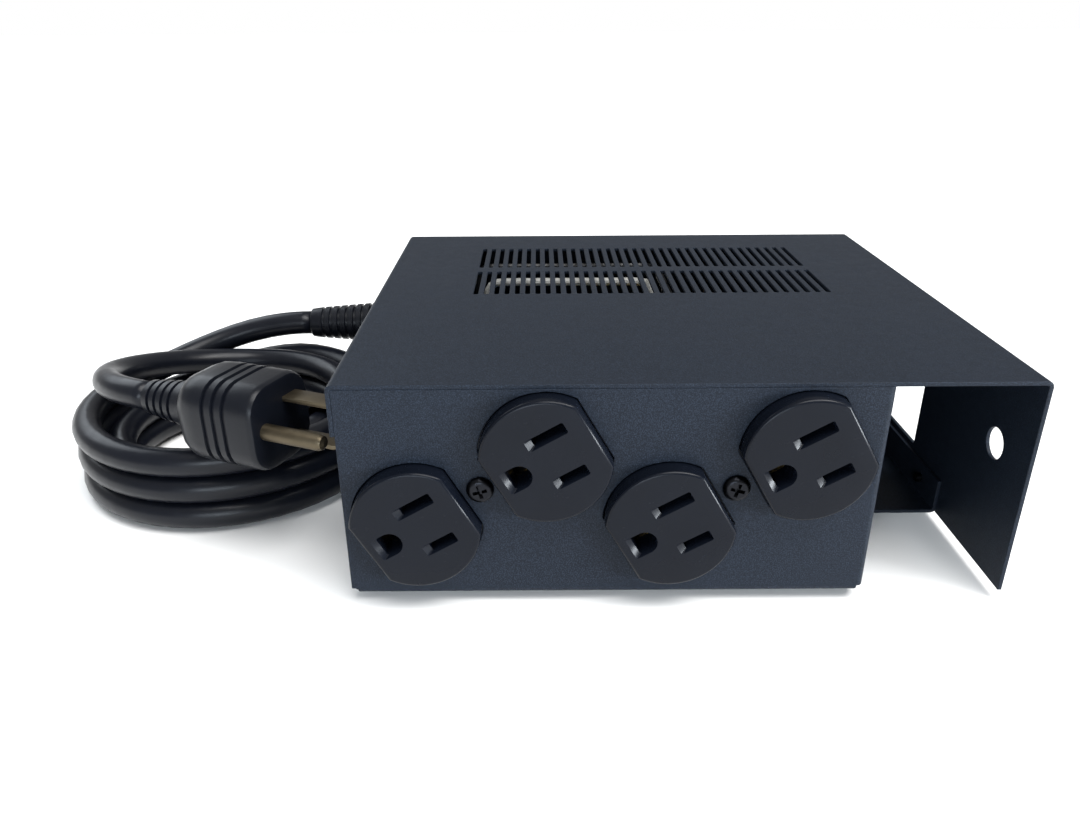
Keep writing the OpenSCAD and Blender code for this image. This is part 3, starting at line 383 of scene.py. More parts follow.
for name, given in finishes.items():
    spec = {**finishDefaults, **given}
    material = bpy.data.materials.new(name)
    material.use_nodes = True
    tree = material.node_tree
    shader = tree.nodes["Principled BSDF"]
    place = addNode(tree, "ShaderNodeTexCoord").outputs["Object"]
    cloud, wear, grain = [
        addNode(tree, "ShaderNodeTexNoise", {
            "Vector": place, "Scale": 1000 / sizeMm, "Detail": detail, "Roughness": 0.55}).outputs["Fac"]
        for sizeMm, detail in ((spec["cloud"], 2.0), (finishShared["wearSize"], 3.0), (spec["grain"], 2.0))]
    if "alongUv" in spec:
        along = addNode(tree, "ShaderNodeUVMap", uv_map="cordUv").outputs["UV"]
        lines = addNode(tree, "ShaderNodeMapping", {
            "Vector": along, "Scale": tuple(1000 / size for size in spec["alongUv"]) + (1,)})
        grain = addNode(tree, "ShaderNodeTexNoise", {
            "Vector": lines.outputs["Vector"], "Scale": 1.0, "Detail": 2.0}).outputs["Fac"]
    darker, lighter = (linear(tint) for tint in spec["colours"])
    colour = addNode(tree, "ShaderNodeMix", {
        0: cloud, 6: darker, 7: lighter}, data_type="RGBA").outputs[2]
    # painted highlight: lighter specks mixed into the base colour stand in for the coat's sparkle in side
    # light
    if "paintedSparkle" in spec:
        paintedSparkle = spec["paintedSparkle"]
        sparkleDots = addNode(tree, "ShaderNodeTexNoise", {
            "Vector": place, "Scale": 1000 / paintedSparkle["size"], "Detail": 1.0, "Roughness": 0.4}).outputs["Fac"]
        share = addNode(tree, "ShaderNodeMapRange", {
            "Value": sparkleDots, 1: paintedSparkle["start"], 2: paintedSparkle["full"],
            3: 0.0, 4: paintedSparkle["share"]}).outputs["Result"]
        colour = addNode(tree, "ShaderNodeMix", {
            0: share, 6: colour, 7: linear(paintedSparkle["tint"])}, data_type="RGBA").outputs[2]
    tree.links.new(colour, shader.inputs["Base Color"])
    rough, (lowWear, highWear) = spec["rough"], finishShared["wearRange"]
    worn = addNode(tree, "ShaderNodeMapRange", {
        "Value": wear, 1: lowWear, 2: highWear,
        3: rough * (1 - spec["wear"]), 4: rough * (1 + spec["wear"])})
    tree.links.new(worn.outputs["Result"], shader.inputs["Roughness"])
    bump = addNode(tree, "ShaderNodeBump", {
        "Height": grain, "Distance": spec["depth"] * mm, "Strength": finishShared["bumpStrength"]})
    tree.links.new(bump.outputs["Normal"], shader.inputs["Normal"])
    shader.inputs["Specular IOR Level"].default_value = spec["shine"]
    if "metal" in spec:
        shader.inputs["Metallic"].default_value = spec["metal"]
    elif "clear" in spec:
        shader.inputs["Transmission Weight"].default_value = spec["clear"]
        shader.inputs["IOR"].default_value = finishShared["clearIor"]
    made[name] = material

nodeFinish = {
    "texturedPowderCoat": ["base_chassis", "bay_partition", "cover"],
    "zincPlatedSteel": ["partition_rivets", "outlet_left_strap", "outlet_right_strap", "board_screws",
                        "terminal_screws", "breaker_nut", "ground_stud", "ground_nut"],
    "blackOxideSteel": ["cover_screws", "outlet_left_screw", "outlet_right_screw"],
    "mouldedRubberFoot": ["rubber_feet"],
    "mouldedNylonFace": ["outlet_left_face", "outlet_right_face"],
    "mouldedPhenolicHousing": ["outlet_left_base", "outlet_right_base", "breaker_body", "lamp_body"],
    "mouldedSwitchBezel": ["switch_body"],
    "rolledBrass": ["outlet_left_contacts", "outlet_right_contacts", "board_standoffs", "fuse_clips",
                    "tab_terminals", "ground_lugs"],
    "nickelPlatedBrass": ["plug_blades"],
    "solderMaskLaminate": ["filter_board"],
    "coatedFerrite": ["choke_core"],
    "enamelledCopper": ["choke_winding"],
    "dippedEpoxyDisc": ["varistor_line_neutral", "varistor_line_ground", "varistor_neutral_ground"],
    "mouldedFilmCapacitor": ["film_capacitor"],
    "dippedCeramicDisc": ["ceramic_capacitors"],
    "lacqueredResistor": ["bleed_resistor", "thermal_fuse"],
    "drawnFuseGlass": ["cartridge_fuse"],
    "mouldedTerminalBlock": ["terminal_block_out", "terminal_block_in"],
    "polishedRocker": ["switch_rocker"],
    "mouldedAcetalButton": ["reset_button"],
    "amberAcrylicLens": ["lamp_lens"],
    "extrudedWireBlack": ["line_lead", "breaker_jumper", "switch_leads", "outlet_line_leads"],
    "extrudedWireWhite": ["neutral_lead", "outlet_neutral_leads"],
    "extrudedWireGreen": ["ground_lead", "outlet_ground_leads"],
    "overmouldedPlugPvc": ["strain_relief", "plug_body"],
    "extrudedCordJacket": ["cord_entry", "cord_lead", "cord_coil", "cord_tail"],
    "vinylTieStrap": ["cord_tie"],
}
for finish, names in nodeFinish.items():
    for name in names:
        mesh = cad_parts[name].data
        mesh.materials.clear()
        mesh.materials.append(made[finish])

# edges of moulded and turned pieces that stay as they are: radius of the edge in millimetres
edgeRadius = {
    "switch_body": 0.5, "switch_rocker": 0.5, "breaker_nut": 0.35, "reset_button": 0.5, "breaker_body": 0.4,
    "cord_tie": 0.25, "filter_board": 0.2, "film_capacitor": 0.8, "terminal_block_out": 0.4,
    "terminal_block_in": 0.4, "lamp_lens": 0.15, "bay_partition": 0.2, "choke_core": 1.2,
}
edgeSteps = {"weldWithin": 1e-5, "segments": 3, "sharperThan": 40}
for name, radius in edgeRadius.items():
    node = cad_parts[name]
    weld = node.modifiers.new("joined", "WELD")
    weld.merge_threshold = edgeSteps["weldWithin"]
    bevel = node.modifiers.new("edge", "BEVEL")
    bevel.width, bevel.segments = radius * mm, edgeSteps["segments"]
    bevel.limit_method, bevel.angle_limit = "ANGLE", math.radians(edgeSteps["sharperThan"])
    bevel.harden_normals = True
print("finishes made")

sheetEdge = 0.22  # the coat's soft edge, in millimetres
sheetSteps = (
    ("SOLIDIFY", {"thickness": case["sheet"] * mm, "offset": -1}),
    ("BEVEL", {"width": sheetEdge * mm, "segments": 2, "limit_method": "ANGLE",
               "angle_limit": math.radians(edgeSteps["sharperThan"]), "use_clamp_overlap": False}),
    ("WEIGHTED_NORMAL", {"keep_sharp": False}),
)

coverSizes = {
    "lipBottom": 50.6,
    "leftScrews": ((-45, 57.6), (50, 57.6)),
    "rightScrews": ((-23, 9.2), (60, 9.2)),
    "screwHole": 1.5,
    "tieHole": ((-57.5, 39), 4.5),
    "window": ((2.5, 33.8), 29, 36, 1.0),  # centre, length, height, corner radius
    "vents": {"rows": 2, "count": 35, "pitch": 3.35, "slotWidth": 1.6, "slotLength": 27.0,
              "rowCentre": 13.5, "rowPitch": 32.0},
}


def ventedTop(tree, given):
    # the outline of the top and two rows of slots, filled so that the slots stay open
    edge = addNode(tree, "GeometryNodeCurvePrimitiveQuadrilateral", {
        "Width": given["width"], "Height": given["depth"]})
    edge = addNode(tree, "GeometryNodeTransform", {
        "Geometry": edge.outputs["Curve"], "Translation": given["centre"]})
    slot = addNode(tree, "GeometryNodeCurvePrimitiveQuadrilateral", {
        "Width": given["slotWidth"], "Height": given["slotLength"]})
    slot = addNode(tree, "GeometryNodeFilletCurve", {
        "Curve": slot.outputs["Curve"], "Count": 4, "Radius": given["slotRadius"]}, mode="POLY")
    rows = addNode(tree, "GeometryNodeMeshLine", {
        "Count": given["rows"], "Start Location": given["firstSlot"], "Offset": given["rowStep"]})
    line = addNode(tree, "GeometryNodeMeshLine", {"Count": given["count"], "Offset": given["slotStep"]})
    row = addNode(tree, "GeometryNodeInstanceOnPoints", {
        "Points": line.outputs["Mesh"], "Instance": slot.outputs["Curve"]})
    field = addNode(tree, "GeometryNodeInstanceOnPoints", {
        "Points": rows.outputs["Mesh"], "Instance": row.outputs["Instances"]})
    loose = addNode(tree, "GeometryNodeRealizeInstances", {"Geometry": field.outputs["Instances"]})
    both = addNode(tree, "GeometryNodeJoinGeometry")
    for part in (loose, edge):
        tree.links.new(part.outputs["Geometry"], both.inputs["Geometry"])
    filled = addNode(tree, "GeometryNodeFillCurve", {"Curve": both.outputs["Geometry"]}, mode="TRIANGLES")
    lifted = addNode(tree, "GeometryNodeTransform", {
        "Geometry": filled.outputs["Mesh"], "Translation": given["lift"]})
    return lifted.outputs["Geometry"]


left, right, front, rear = (case[key] for key in ("left", "right", "front", "rear"))
base, top, bend, coat = case["base"], case["top"], case["bend"], made["texturedPowderCoat"]
vents = coverSizes["vents"]
firstSlot = (-(vents["count"] - 1) / 2 * vents["pitch"] * mm, vents["rowCentre"] * mm, 0)
topPlate = grown("ventedTop", {
    "width": (right - left - 2 * bend) * mm, "depth": (rear - front) * mm,
    "centre": (0, (front + rear) / 2 * mm, 0), "lift": (0, 0, top * mm),
    "slotWidth": vents["slotWidth"] * mm, "slotLength": vents["slotLength"] * mm,
    "slotRadius": vents["slotWidth"] / 2 * mm, "rows": vents["rows"], "count": vents["count"],
    "firstSlot": firstSlot, "slotStep": (vents["pitch"] * mm, 0, 0),
    "rowStep": (0, vents["rowPitch"] * mm, 0),
}, ventedTop, coat)
mesher = bmesh.new()
mesher.from_mesh(topPlate.data)
bpy.data.objects.remove(topPlate)
for side, turn in ((left, 1), (right, -1)):
    addBend(mesher, (side, front, top), (side, rear, top), (turn, 0, 0), (0, 0, -1), bend)
lip, hole = coverSizes["lipBottom"], coverSizes["screwHole"]
addPlate(mesher, [(front, lip), (rear, lip), (rear, top - bend), (front, top - bend)],
         [circlePoints(place, hole, 16) for place in coverSizes["leftScrews"]],
         lambda p: at(left, p.x, p.y))
addPlate(mesher, [(front, base), (rear, base), (rear, top - bend), (front, top - bend)],
         [circlePoints(place, hole, 16) for place in coverSizes["rightScrews"]]
         + [circlePoints(*coverSizes["tieHole"], 32), roundedRect(*coverSizes["window"])],
         lambda p: at(right, p.x, p.y))
coverShell = fromMesher("coverShell", mesher, coat, outward=(at(right, 40, 30), (1, 0, 0)))
settled(coverShell, *sheetSteps)
belongs(coverShell, "case", "powder_coat", "cover")
print("cover folded")

outletSizes = {
    "centres": (-51.9, 13.9), "height": 35.6, "tilt": 30.0, "pitch": 38.9,
    "radius": 17.0, "flat": 14.2, "proud": 5.0, "edge": 0.9, "gap": 0.3,
    "plateFront": 1.2, "plateBack": 3.2, "plateRadius": 16.5,
    "slots": (((4.3, 6.35), 8.8, 2.2), ((4.3, -6.35), 7.2, 2.2)),  # centre, length, width
    "slotCorner": 0.35,
    "ground": (-7.6, 2.8),
    "groundCorner": 0.4,
    "screwHole": 1.95,
    "plateHole": 2.25,
    "faceHoleGrow": 0.01,  # the plate's openings stand this far clear of the faces
    "plateMargin": 0.4,
    "groundLead": (0.5, 1.3),  # how much wider the ground opening starts, round part and flat end
    "slotLead": (0.6, 2.2, 1.0, 0.5),  # shift, extra length, extra width and corner where a slot starts
    "leadDepth": 1.1,
}


def faceOutline(inset, steps=22):
    # a circle with two opposite flats, seen in the outlet's own frame
    radius, flat = outletSizes["radius"] - inset, outletSizes["flat"] - inset
    meets = math.acos(flat / radius)
    points = []
    for start in (meets, math.pi + meets):
        for k in range(steps + 1):
            a = start + (math.pi - 2 * meets) * k / steps
            points.append((radius * math.cos(a), radius * math.sin(a)))
    return points


def groundOutline(grow, flatGrow):
    # half round towards the slots, square at the other end
    u, radius = outletSizes["ground"]
    wide = radius + grow
    points = [(u + wide * math.cos(a), wide * math.sin(a))
              for a in (math.radians(-90 + 10 * k) for k in range(19))]
    end, corner = u - radius - flatGrow, outletSizes["groundCorner"]
    return points + [(end + corner, wide), (end, wide - corner),
                     (end, -wide + corner), (end + corner, -wide)]


def outletPoint(centre, u, v, w):
    turn = math.radians(outletSizes["tilt"])
    c, s = math.cos(turn), math.sin(turn)
    return at(centre + u * c - v * s, front + w, outletSizes["height"] + u * s + v * c)


baseSizes = {
    "left": -87.8, "right": 87.8, "wallTop": 63.4, "returnBack": -63.0, "flangeTop": 14.2,
    "cordHole": ((57, 36), 8.0),
    "notch": 1.0,  # relief where the floor meets the return
    "cornerGap": 1.4,  # how far the left wall stops short of the front and rear
}
bl, br, wallTop, bay = baseSizes["left"], baseSizes["right"], baseSizes["wallTop"], case["bay"]
bayFloor, returnBack, flangeTop = case["bayFloor"], baseSizes["returnBack"], baseSizes["flangeTop"]
wallLow, gap = base + bend, baseSizes["cornerGap"]
panelHoles = []
tilt = math.radians(outletSizes["tilt"])
for centre in outletSizes["centres"]:
    panelHoles.append(circlePoints((centre, outletSizes["height"]), outletSizes["screwHole"], 20))
    for end in (-1, 1):
        shift = end * outletSizes["pitch"] / 2
        panelHoles.append([
            (centre + (u + shift) * math.cos(tilt) - v * math.sin(tilt),
             outletSizes["height"] + (u + shift) * math.sin(tilt) + v * math.cos(tilt))
            for u, v in faceOutline(-outletSizes["gap"])])
mesher = bmesh.new()
addPlate(mesher, [(bl + bend, front + bend), (bay - bend, front + bend),
                  (bay, front + bend + baseSizes["notch"]), (bay, bayFloor), (br - bend, bayFloor),
                  (br - bend, rear - bend), (bl + bend, rear - bend)], [], lambda p: at(p.x, p.y, base))
addBend(mesher, (bl + bend, front, base), (bay - bend, front, base), (0, 1, 0), (0, 0, 1), bend)
addBend(mesher, (bl, front + bend, base), (bl, rear - bend, base), (1, 0, 0), (0, 0, 1), bend)
addBend(mesher, (bl + bend, rear, base), (br - bend, rear, base), (0, -1, 0), (0, 0, 1), bend)
addBend(mesher, (br, bayFloor, base), (br, rear - bend, base), (-1, 0, 0), (0, 0, 1), bend)
addBend(mesher, (bay, front, wallLow), (bay, front, wallTop), (-1, 0, 0), (0, 1, 0), bend)
addPlate(mesher, [(bl, wallLow), (bl + bend, wallLow), (bay - bend, wallLow), (bay - bend, wallTop),
                  (bl, wallTop)], panelHoles, lambda p: at(p.x, front, p.y))
addPlate(mesher, [(front + bend, wallLow), (returnBack, wallLow), (returnBack, wallTop),
                  (front + bend, wallTop)], [], lambda p: at(bay, p.x, p.y))
addPlate(mesher, [(front + gap, wallLow), (front + bend, wallLow), (rear - bend, wallLow),
                  (rear - gap, wallLow), (rear - gap, wallTop), (front + gap, wallTop)],
         [circlePoints(*baseSizes["cordHole"], 32)], lambda p: at(bl, p.x, p.y))
addPlate(mesher, [(bl, wallLow), (bl + bend, wallLow), (br - bend, wallLow), (br, wallLow),
                  (br, wallTop), (bl, wallTop)], [], lambda p: at(p.x, rear, p.y))
addPlate(mesher, [(bayFloor, wallLow), (rear - bend, wallLow),
                  (rear - bend, flangeTop), (bayFloor, flangeTop)],
         [circlePoints(place, hole, 16) for place in coverSizes["rightScrews"]],
         lambda p: at(br, p.x, p.y))
trayShell = fromMesher("trayShell", mesher, coat, outward=(at(-19, front, 8), (0, -1, 0)))
settled(trayShell, *sheetSteps)
belongs(trayShell, "case", "powder_coat", "base_chassis")
print("base folded")

for side, centre in zip(("left", "right"), outletSizes["centres"]):
    mesher = bmesh.new()
    proud, back = -outletSizes["proud"], outletSizes["plateBack"]
    sooner, longer, wider, corner = outletSizes["slotLead"]
    for end in (-1, 1):
        shift = end * outletSizes["pitch"] / 2
        openings = [(groundOutline(*outletSizes["groundLead"]), groundOutline(0, 0))]
        for (u, v), length, width in outletSizes["slots"]:
            openings.append((roundedRect((u - sooner, v), length + longer, width + wider, corner),
                             roundedRect((u, v), length, width, outletSizes["slotCorner"])))
        spot = lambda p, w, shift=shift: outletPoint(centre, p[0] + shift, p[1], w)
        edge = outletSizes["edge"]
        rim = [(edge * (1 - math.sin(a)), proud + edge * (1 - math.cos(a)))
               for a in (math.pi / 8 * k for k in range(5))]
        addPlate(mesher, faceOutline(edge), [wide for wide, _ in openings], lambda p: spot(p, proud))
        addLoops(mesher, [[spot(p, w) for p in faceOutline(inset)] for inset, w in [*rim, (0, back)]])
        addPlate(mesher, faceOutline(0), [narrow for _, narrow in openings], lambda p: spot(p, back))
        for wide, narrow in openings:
            addLoops(mesher, [[spot(p, proud) for p in wide],
                              [spot(p, proud + outletSizes["leadDepth"]) for p in narrow],
                              [spot(p, back) for p in narrow]])
    half, radius = outletSizes["pitch"] / 2, outletSizes["plateRadius"]
    stadium = [(half * (1 if k < 17 else -1) + radius * math.cos(a), radius * math.sin(a))
               for k, a in enumerate([math.radians(-90 + 11.25 * k) for k in range(17)]
                                     + [math.radians(90 + 11.25 * k) for k in range(17)])]
    limit = radius - outletSizes["plateMargin"]
    holes = [[(u + end * half, v) for u, v in faceOutline(-outletSizes["faceHoleGrow"])] for end in (-1, 1)]
    holes = [[(u, max(-limit, min(limit, v))) for u, v in loop] for loop in holes]
    holes.append(circlePoints((0, 0), outletSizes["plateHole"], 20))
    for w in (outletSizes["plateFront"], back):
        addPlate(mesher, stadium, holes, lambda p: outletPoint(centre, p[0], p[1], w))
    for loop in (stadium, *holes):
        addLoops(mesher, [[outletPoint(centre, u, v, w) for u, v in loop]
                          for w in (outletSizes["plateFront"], back)])
    piece = fromMesher(side + "OutletFace", mesher, made["mouldedNylonFace"], smoothAngle=32)
    belongs(piece, "case", "face_nylon", "outlet_" + side + "_face")
print("outlet faces moulded")

# head radius and height, the flat cap's radius, shaft radius and length, and the size of the cross
screwKinds = {
    "coverScrews": dict(
        head=3.2, height=1.8, cap=1.9, shaft=1.5, length=4.2, cross=(1.55, 0.42),
        nodes=("cover_screws",), seed=4,
        places=[(left, y, z) for y, z in coverSizes["leftScrews"]]
        + [(right, y, z) for y, z in coverSizes["rightScrews"]],
        facings=[(-1, 0, 0)] * 2 + [(1, 0, 0)] * 2),
    "outletScrews": dict(
        head=3.6, height=1.8, cap=2.3, shaft=1.7, length=10.7, cross=(1.9, 0.48),
        nodes=("outlet_left_screw", "outlet_right_screw"), seed=11,
        places=[(centre, front, outletSizes["height"]) for centre in outletSizes["centres"]],
        facings=[(0, -1, 0)] * 2),
}
crossTaper, crossDepth = 0.62, 1.15  # the cross narrows to this share at this depth
blackSteel = made["blackOxideSteel"]
for name, kind in screwKinds.items():
    mesher = bmesh.new()
    long, thin = kind["cross"]
    cross = [(long, -thin), (long, thin), (thin, thin), (thin, long), (-thin, long), (-thin, thin),
             (-long, thin), (-long, -thin), (-thin, -thin), (-thin, -long), (thin, -long), (thin, -thin)]
    high, cap, head = kind["height"], kind["cap"], kind["head"]
    addPlate(mesher, circlePoints((0, 0), cap, 28), [cross], lambda p: at(p.x, p.y, high))
    addLoops(mesher, [[at(x, y, high) for x, y in cross],
                      [at(x * crossTaper, y * crossTaper, high - crossDepth) for x, y in cross]],
             ends=(False, True))
    shaft, length = kind["shaft"], kind["length"]
    addLathe(mesher, [(r * mm, h * mm) for r, h in (
        (cap, high), ((cap + head) / 2, high - 0.22), (head - 0.25, high - 0.75), (head, high - 1.25),
        (head, 0.05), (head - 0.1, 0), (shaft, 0), (shaft, 0.4 - length), (shaft - 0.4, -length),
        (0, -length))], Matrix.Identity(4), 28)
    template = fromMesher(name + "Shape", mesher, blackSteel, 40)
    piece = setOut(name, template, [at(*p) for p in kind["places"]], kind["facings"],
                   kind["seed"], blackSteel)
    belongs(piece, "case", "black_screw", *kind["nodes"])

footSizes = {
    "places": ((-75, -61), (-75, 66), (75, -21), (75, 66)),
    "profile": ((0, 0.7), (1.7, 0.7), (2.2, 0.1), (2.6, 0), (4.8, 0), (5.2, 0.3), (5.5, 1.0), (5.95, 2.6),
                (6.0, 3.0), (0, 3.0)),
}
mesher = bmesh.new()
addLathe(mesher, [(r * mm, h * mm) for r, h in footSizes["profile"]], Matrix.Identity(4), 28)
piece = setOut("feet", fromMesher("footShape", mesher, made["mouldedRubberFoot"]),
               [at(x, y, 0) for x, y in footSizes["places"]], [(0, 0, 1)] * 4, 3, made["mouldedRubberFoot"])
belongs(piece, "case", "foot_rubber", "rubber_feet")

rivetSizes = {
    "places": ((51.0, -68, 15), (51.0, -68, 52.6)),
    "profile": ((0, 0.9), (1.0, 0.85), (1.9, 0.6), (2.5, 0.25), (2.7, 0), (1.6, 0), (1.6, -2.4),
                (2.7, -2.4), (2.5, -2.7), (1.8, -3.1), (0.9, -3.28), (0, -3.3)),
}
mesher = bmesh.new()
addLathe(mesher, [(r * mm, h * mm) for r, h in rivetSizes["profile"]], Matrix.Identity(4), 24)
piece = setOut("rivets", fromMesher("rivetShape", mesher, made["zincPlatedSteel"]),
               [at(*p) for p in rivetSizes["places"]], [(1, 0, 0)] * 2, 5, made["zincPlatedSteel"])
belongs(piece, "case", "zinc_steel", "partition_rivets")
print("screws, feet and rivets set out")

bootSizes = {
    "place": (-87.8, 57.0, 36.0), "length": 38.2, "root": 8.5, "tip": 5.7, "bore": 4.56,
    "inside": -5.2, "flangeFace": 3.0, "tipStart": 36.6,
    # the two flanges and the neck in the wall's hole between them
    "flanges": ((9.2, -5.2), (9.5, -4.9), (9.5, -1.25), (7.95, -1.2), (7.95, 0), (9.3, 0), (9.5, 0.3),
                (9.5, 2.3), (9.2, 2.8), (8.5, 3.0)),
    "ribs": 10, "firstRib": 4.6, "ribPitch": 3.1, "ribGap": 1.15, "ribDepth": 1.0,
    "thinWall": 6.6, "thinShare": 0.7,  # ribs are cut shallower where the wall gets thin
}
bore, root, tip, length = (bootSizes[key] for key in ("bore", "root", "tip", "length"))
profile = [(bore, bootSizes["inside"]), *bootSizes["flanges"]]
for k in range(bootSizes["ribs"]):
    start = bootSizes["firstRib"] + k * bootSizes["ribPitch"]
    wall = root + (tip - root) * (start - bootSizes["flangeFace"]) / (length - bootSizes["flangeFace"])
    deep = bootSizes["ribDepth"] * (bootSizes["thinShare"] if wall < bootSizes["thinWall"] else 1.0)
    finish = start + bootSizes["ribGap"]
    profile += [(wall, start), (wall - 0.15, start + 0.12), (wall - deep, start + 0.22),
                (wall - deep, finish - 0.1), (wall - 0.25, finish), (wall - 0.1, finish + 0.12)]
profile += [(tip, bootSizes["tipStart"]), (tip - 0.2, length - 0.4), (tip - 0.6, length), (bore, length),
            (bore, bootSizes["inside"])]
mesher = bmesh.new()
addLathe(mesher, [(r * mm, h * mm) for r, h in profile],
         Matrix.Translation(at(*bootSizes["place"])) @ Matrix.Rotation(math.radians(-90), 4, "Y"), 36)
bootShell = fromMesher("ribbedBoot", mesher, made["overmouldedPlugPvc"], 30)
belongs(bootShell, "case", "cord_pvc", "strain_relief")

cordSizes = {
    "diameter": 9.0, "sides": 20,
    "exit": (-126.0, 57.0, 36.0),  # the boot's tip
    "coilCentre": (-144.0, 10.0), "outer": 47.0, "inner": 38.0,
    "layers": (23.5, 14.5, 5.5),
    "leadRun": (2.0, 72.0),  # where along the cord it sinks to the coil
    "drops": ((426, 502), (786, 862)),  # angles round the coil, in degrees from the first turn
    "shift": (1068, 1203),
    "climbs": ((1320, 1450), (1680, 1810)),
    "tailRise": (1885, 2048, 17.5),
    "lastStraight": 4.0,
    "turnStep": 7.5,
}


def coilPoint(angle):
    # the cord drops two layers outside, moves in, climbs two layers inside and rises to the plug
    high, middle, low = cordSizes["layers"]
    z = high - sum((high - middle) * eased(angle, *window) for window in cordSizes["drops"])
    z += sum((middle - low) * eased(angle, *window) for window in cordSizes["climbs"])
    start, finish, lift = cordSizes["tailRise"]
    z += lift * eased(angle, start, finish)
    run = -cordSizes["coilCentre"][0] + cordSizes["exit"][0] + math.radians(angle - 90) * cordSizes["outer"]
    z += (cordSizes["exit"][2] - high) * (1 - eased(run, *cordSizes["leadRun"]))
    radius = cordSizes["outer"]
    radius += (cordSizes["inner"] - cordSizes["outer"]) * eased(angle, *cordSizes["shift"])
    a = math.radians(angle)
    cx, cy = cordSizes["coilCentre"]
    return Vector((cx + radius * math.cos(a), cy + radius * math.sin(a), z))


exitPoint = Vector(cordSizes["exit"])
straight = exitPoint.x - cordSizes["coilCentre"][0]
route = []
for k in range(5):  # straight off the boot before the first turn
    sunk = (exitPoint.z - cordSizes["layers"][0]) * eased(straight * k / 5, *cordSizes["leadRun"])
    route.append(exitPoint - Vector((straight * k / 5, 0, sunk)))
lastAngle = cordSizes["tailRise"][1]
turnSteps = round((lastAngle - 90) / cordSizes["turnStep"])
route += [coilPoint(90 + (lastAngle - 90) * k / turnSteps) for k in range(turnSteps + 1)]
aim = math.radians(lastAngle + 90)
heading = Vector((math.cos(aim), math.sin(aim), 0))
route.append(route[-1] + heading * cordSizes["lastStraight"])
plugStart, plugTurn = route[-1].copy(), math.atan2(heading.y, heading.x)
route = [p * mm for p in route]

mesher = bmesh.new()
cordUv = mesher.loops.layers.uv.new("cordUv")
sides, radius = cordSizes["sides"], cordSizes["diameter"] / 2 * mm
side = (route[1] - route[0]).orthogonal().normalized()
rings, lengths, cordLength = [], [], 0.0
for i, point in enumerate(route):
    ahead = (route[min(i + 1, len(route) - 1)] - route[max(i - 1, 0)]).normalized()
    side = (side - ahead * side.dot(ahead)).normalized()
    up = ahead.cross(side)
    cordLength += (point - route[i - 1]).length if i else 0
    lengths.append(cordLength)
    angles = [2 * math.pi * k / sides for k in range(sides)]
    rings.append([mesher.verts.new(point + radius * (math.cos(a) * side + math.sin(a) * up))
                  for a in angles])
for i in range(len(route) - 1):
    for k in range(sides):
        n = (k + 1) % sides
        face = mesher.faces.new((rings[i][k], rings[i][n], rings[i + 1][n], rings[i + 1][k]))
        face.smooth = True
        for loop, (u, v) in zip(face.loops, ((i, k), (i, k + 1), (i + 1, k + 1), (i + 1, k))):
            loop[cordUv].uv = (lengths[u], v / sides * 2 * math.pi * radius)
mesher.faces.new(list(reversed(rings[0])))
mesher.faces.new(rings[-1])
cordMesh = bpy.data.meshes.new("mainsCord")
mesher.to_mesh(cordMesh)
mesher.free()
mainsCord = meshObject("mainsCord", cordMesh, made["extrudedCordJacket"])
belongs(mainsCord, "case", "cord_pvc", "cord_lead", "cord_coil", "cord_tail")
print("cord laid,", round(cordLength, 3), "m")

plugSizes = {
    "length": 48.0, "wide": 26.0, "corner": 8.0, "bootEnd": 18.0, "roundCorner": 20.0,
    "rings": (2.6, 5.6, 8.6, 11.6), "ringWide": (10.6, 0.24), "ringDepth": 1.4,
    "neck": ((15.6, 14.4), (17.4, 15.4), (18.3, 17.4), (19.6, 20.6), (21.6, 23.6), (24.2, 25.5),
             (27.5, 26.0)),
    "grooves": (30.5, 34.0, 37.5), "grooveDepth": 1.4,
    "nose": ((45.8, 26.0), (46.9, 25.7), (47.6, 25.0), (48.0, 23.6)),
    "blade": (17.5, 6.35, 1.5), "bladeGap": 12.7, "rise": 4.2, "pinDrop": 11.9, "pin": (20.0, 2.4),
    "pinSunk": 0.2,
}
plugFrame = Matrix.Translation(plugStart * mm) @ Matrix.Rotation(plugTurn, 4, "Z")


def plugLoop(x, wide, corner, high=None, y=0.0, z=0.0, steps=6):
    high = high or wide
    corner = min(corner, wide / 2 - 0.01, high / 2 - 0.01)
    return [plugFrame @ at(x, y + a, z + b) for a, b in roundedRect((0, 0), wide, high, corner, steps)]


body = [(0, 9.6), (0.4, 10.4)]
ringStart, ringSlope = plugSizes["ringWide"]
for x in plugSizes["rings"]:  # rings that let the boot flex
    wide = ringStart + x * ringSlope
    cut = wide - plugSizes["ringDepth"]
    body += [(x, wide), (x + 0.15, cut), (x + 1.1, cut), (x + 1.25, wide + 0.3)]
body += plugSizes["neck"]
wide, cut = plugSizes["wide"], plugSizes["wide"] - plugSizes["grooveDepth"]
for x in plugSizes["grooves"]:  # finger grip
    body += [(x, wide), (x + 0.3, cut), (x + 1.3, cut), (x + 1.6, wide)]
body += plugSizes["nose"]
mesher = bmesh.new()
addLoops(mesher, [
    plugLoop(x, wide, plugSizes["corner"] if x > plugSizes["bootEnd"] else plugSizes["roundCorner"])
    for x, wide in body], ends=(True, True))
plugShell = fromMesher("plugMoulding", mesher, made["overmouldedPlugPvc"], 32)
belongs(plugShell, "case", "cord_pvc", "plug_body")

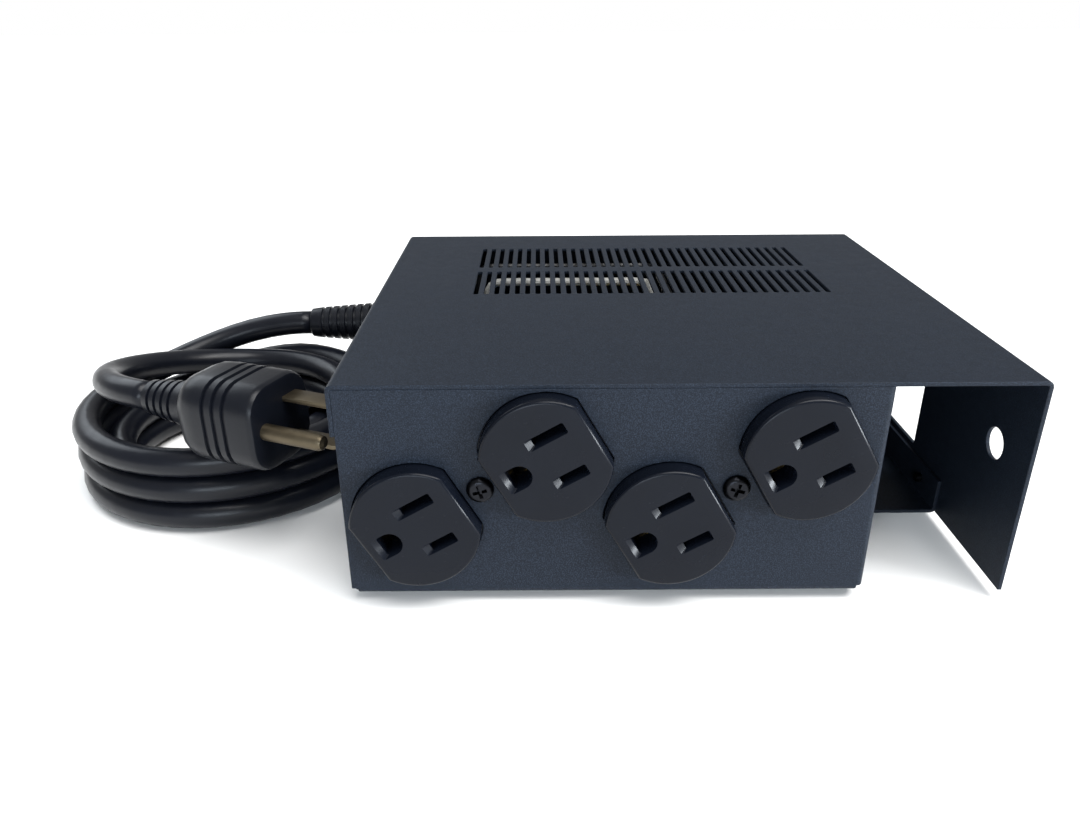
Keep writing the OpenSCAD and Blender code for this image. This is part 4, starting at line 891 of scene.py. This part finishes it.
mesher = bmesh.new()
reach, wide, thick = plugSizes["blade"]
nose, sunk = plugSizes["length"], -plugSizes["pinSunk"]
bladeLoops = ((sunk, wide, thick), (reach - 2.2, wide, thick), (reach - 0.6, wide - 1.4, thick - 0.5),
              (reach, wide - 2.4, thick - 0.9))
for z in (-plugSizes["bladeGap"] / 2, plugSizes["bladeGap"] / 2):
    addLoops(mesher, [plugLoop(nose + x, tall, 0.3, flat, plugSizes["rise"], z, 2)
                      for x, tall, flat in bladeLoops], ends=(True, True))
pinLong, pinRadius = plugSizes["pin"]
pinPlace = at(nose, plugSizes["rise"] - plugSizes["pinDrop"], 0)
pinFrame = plugFrame @ Matrix.Translation(pinPlace) @ Matrix.Rotation(math.pi / 2, 4, "Y")
addLathe(mesher, [(r * mm, h * mm) for r, h in (
    (0, sunk), (pinRadius, sunk), (pinRadius, pinLong - 2), (pinRadius * 0.8, pinLong - 0.8),
    (pinRadius * 0.4, pinLong - 0.1), (0, pinLong))], pinFrame, 24)
plugPins = fromMesher("plugPins", mesher, made["nickelPlatedBrass"], 30)
belongs(plugPins, "case", "contact_brass", "plug_blades")
print("plug and boot moulded")

stage = {
    "halfWidth": 8.0, "colours": ("#f3f3f2", "#f6f6f5"), "rough": 0.95, "cloudScale": 3.0,
    "seenWhite": 1.0, "roomLight": 0.42,  # the room is white to the eye and dimmer as light
}
mesher = bmesh.new()
bmesh.ops.create_grid(mesher, x_segments=8, y_segments=8, size=stage["halfWidth"])
# matt white paint: even, and shadowed only by the piece
floorMaterial = bpy.data.materials.new("paintedStudioFloor")
floorMaterial.use_nodes = True
floorTree = floorMaterial.node_tree
floorShader = floorTree.nodes["Principled BSDF"]
floorPlace = addNode(floorTree, "ShaderNodeTexCoord").outputs["Object"]
floorCloud = addNode(floorTree, "ShaderNodeTexNoise", {
    "Vector": floorPlace, "Scale": stage["cloudScale"]}).outputs["Fac"]
darker, lighter = (linear(tint) for tint in stage["colours"])
floorColour = addNode(floorTree, "ShaderNodeMix", {
    0: floorCloud, 6: darker, 7: lighter}, data_type="RGBA").outputs[2]
floorTree.links.new(floorColour, floorShader.inputs["Base Color"])
floorShader.inputs["Roughness"].default_value = stage["rough"]
studioFloor = fromMesher("studioFloor", mesher, floorMaterial, outward=((0, 0, 0), (0, 0, 1)))
studioFloor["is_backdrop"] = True
world = bpy.data.worlds.new("studioWorld")
world.use_nodes = True
worldTree = world.node_tree
seen = addNode(worldTree, "ShaderNodeLightPath").outputs["Is Camera Ray"]
strength = addNode(worldTree, "ShaderNodeMapRange", {
    "Value": seen, 3: stage["roomLight"], 4: stage["seenWhite"]})
sky = worldTree.nodes["Background"]
sky.inputs["Color"].default_value = (1, 1, 1, 1)
worldTree.links.new(strength.outputs["Result"], sky.inputs["Strength"])
bpy.context.scene.world = world
bpy.context.scene.view_settings.view_transform = "Standard"

low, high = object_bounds()
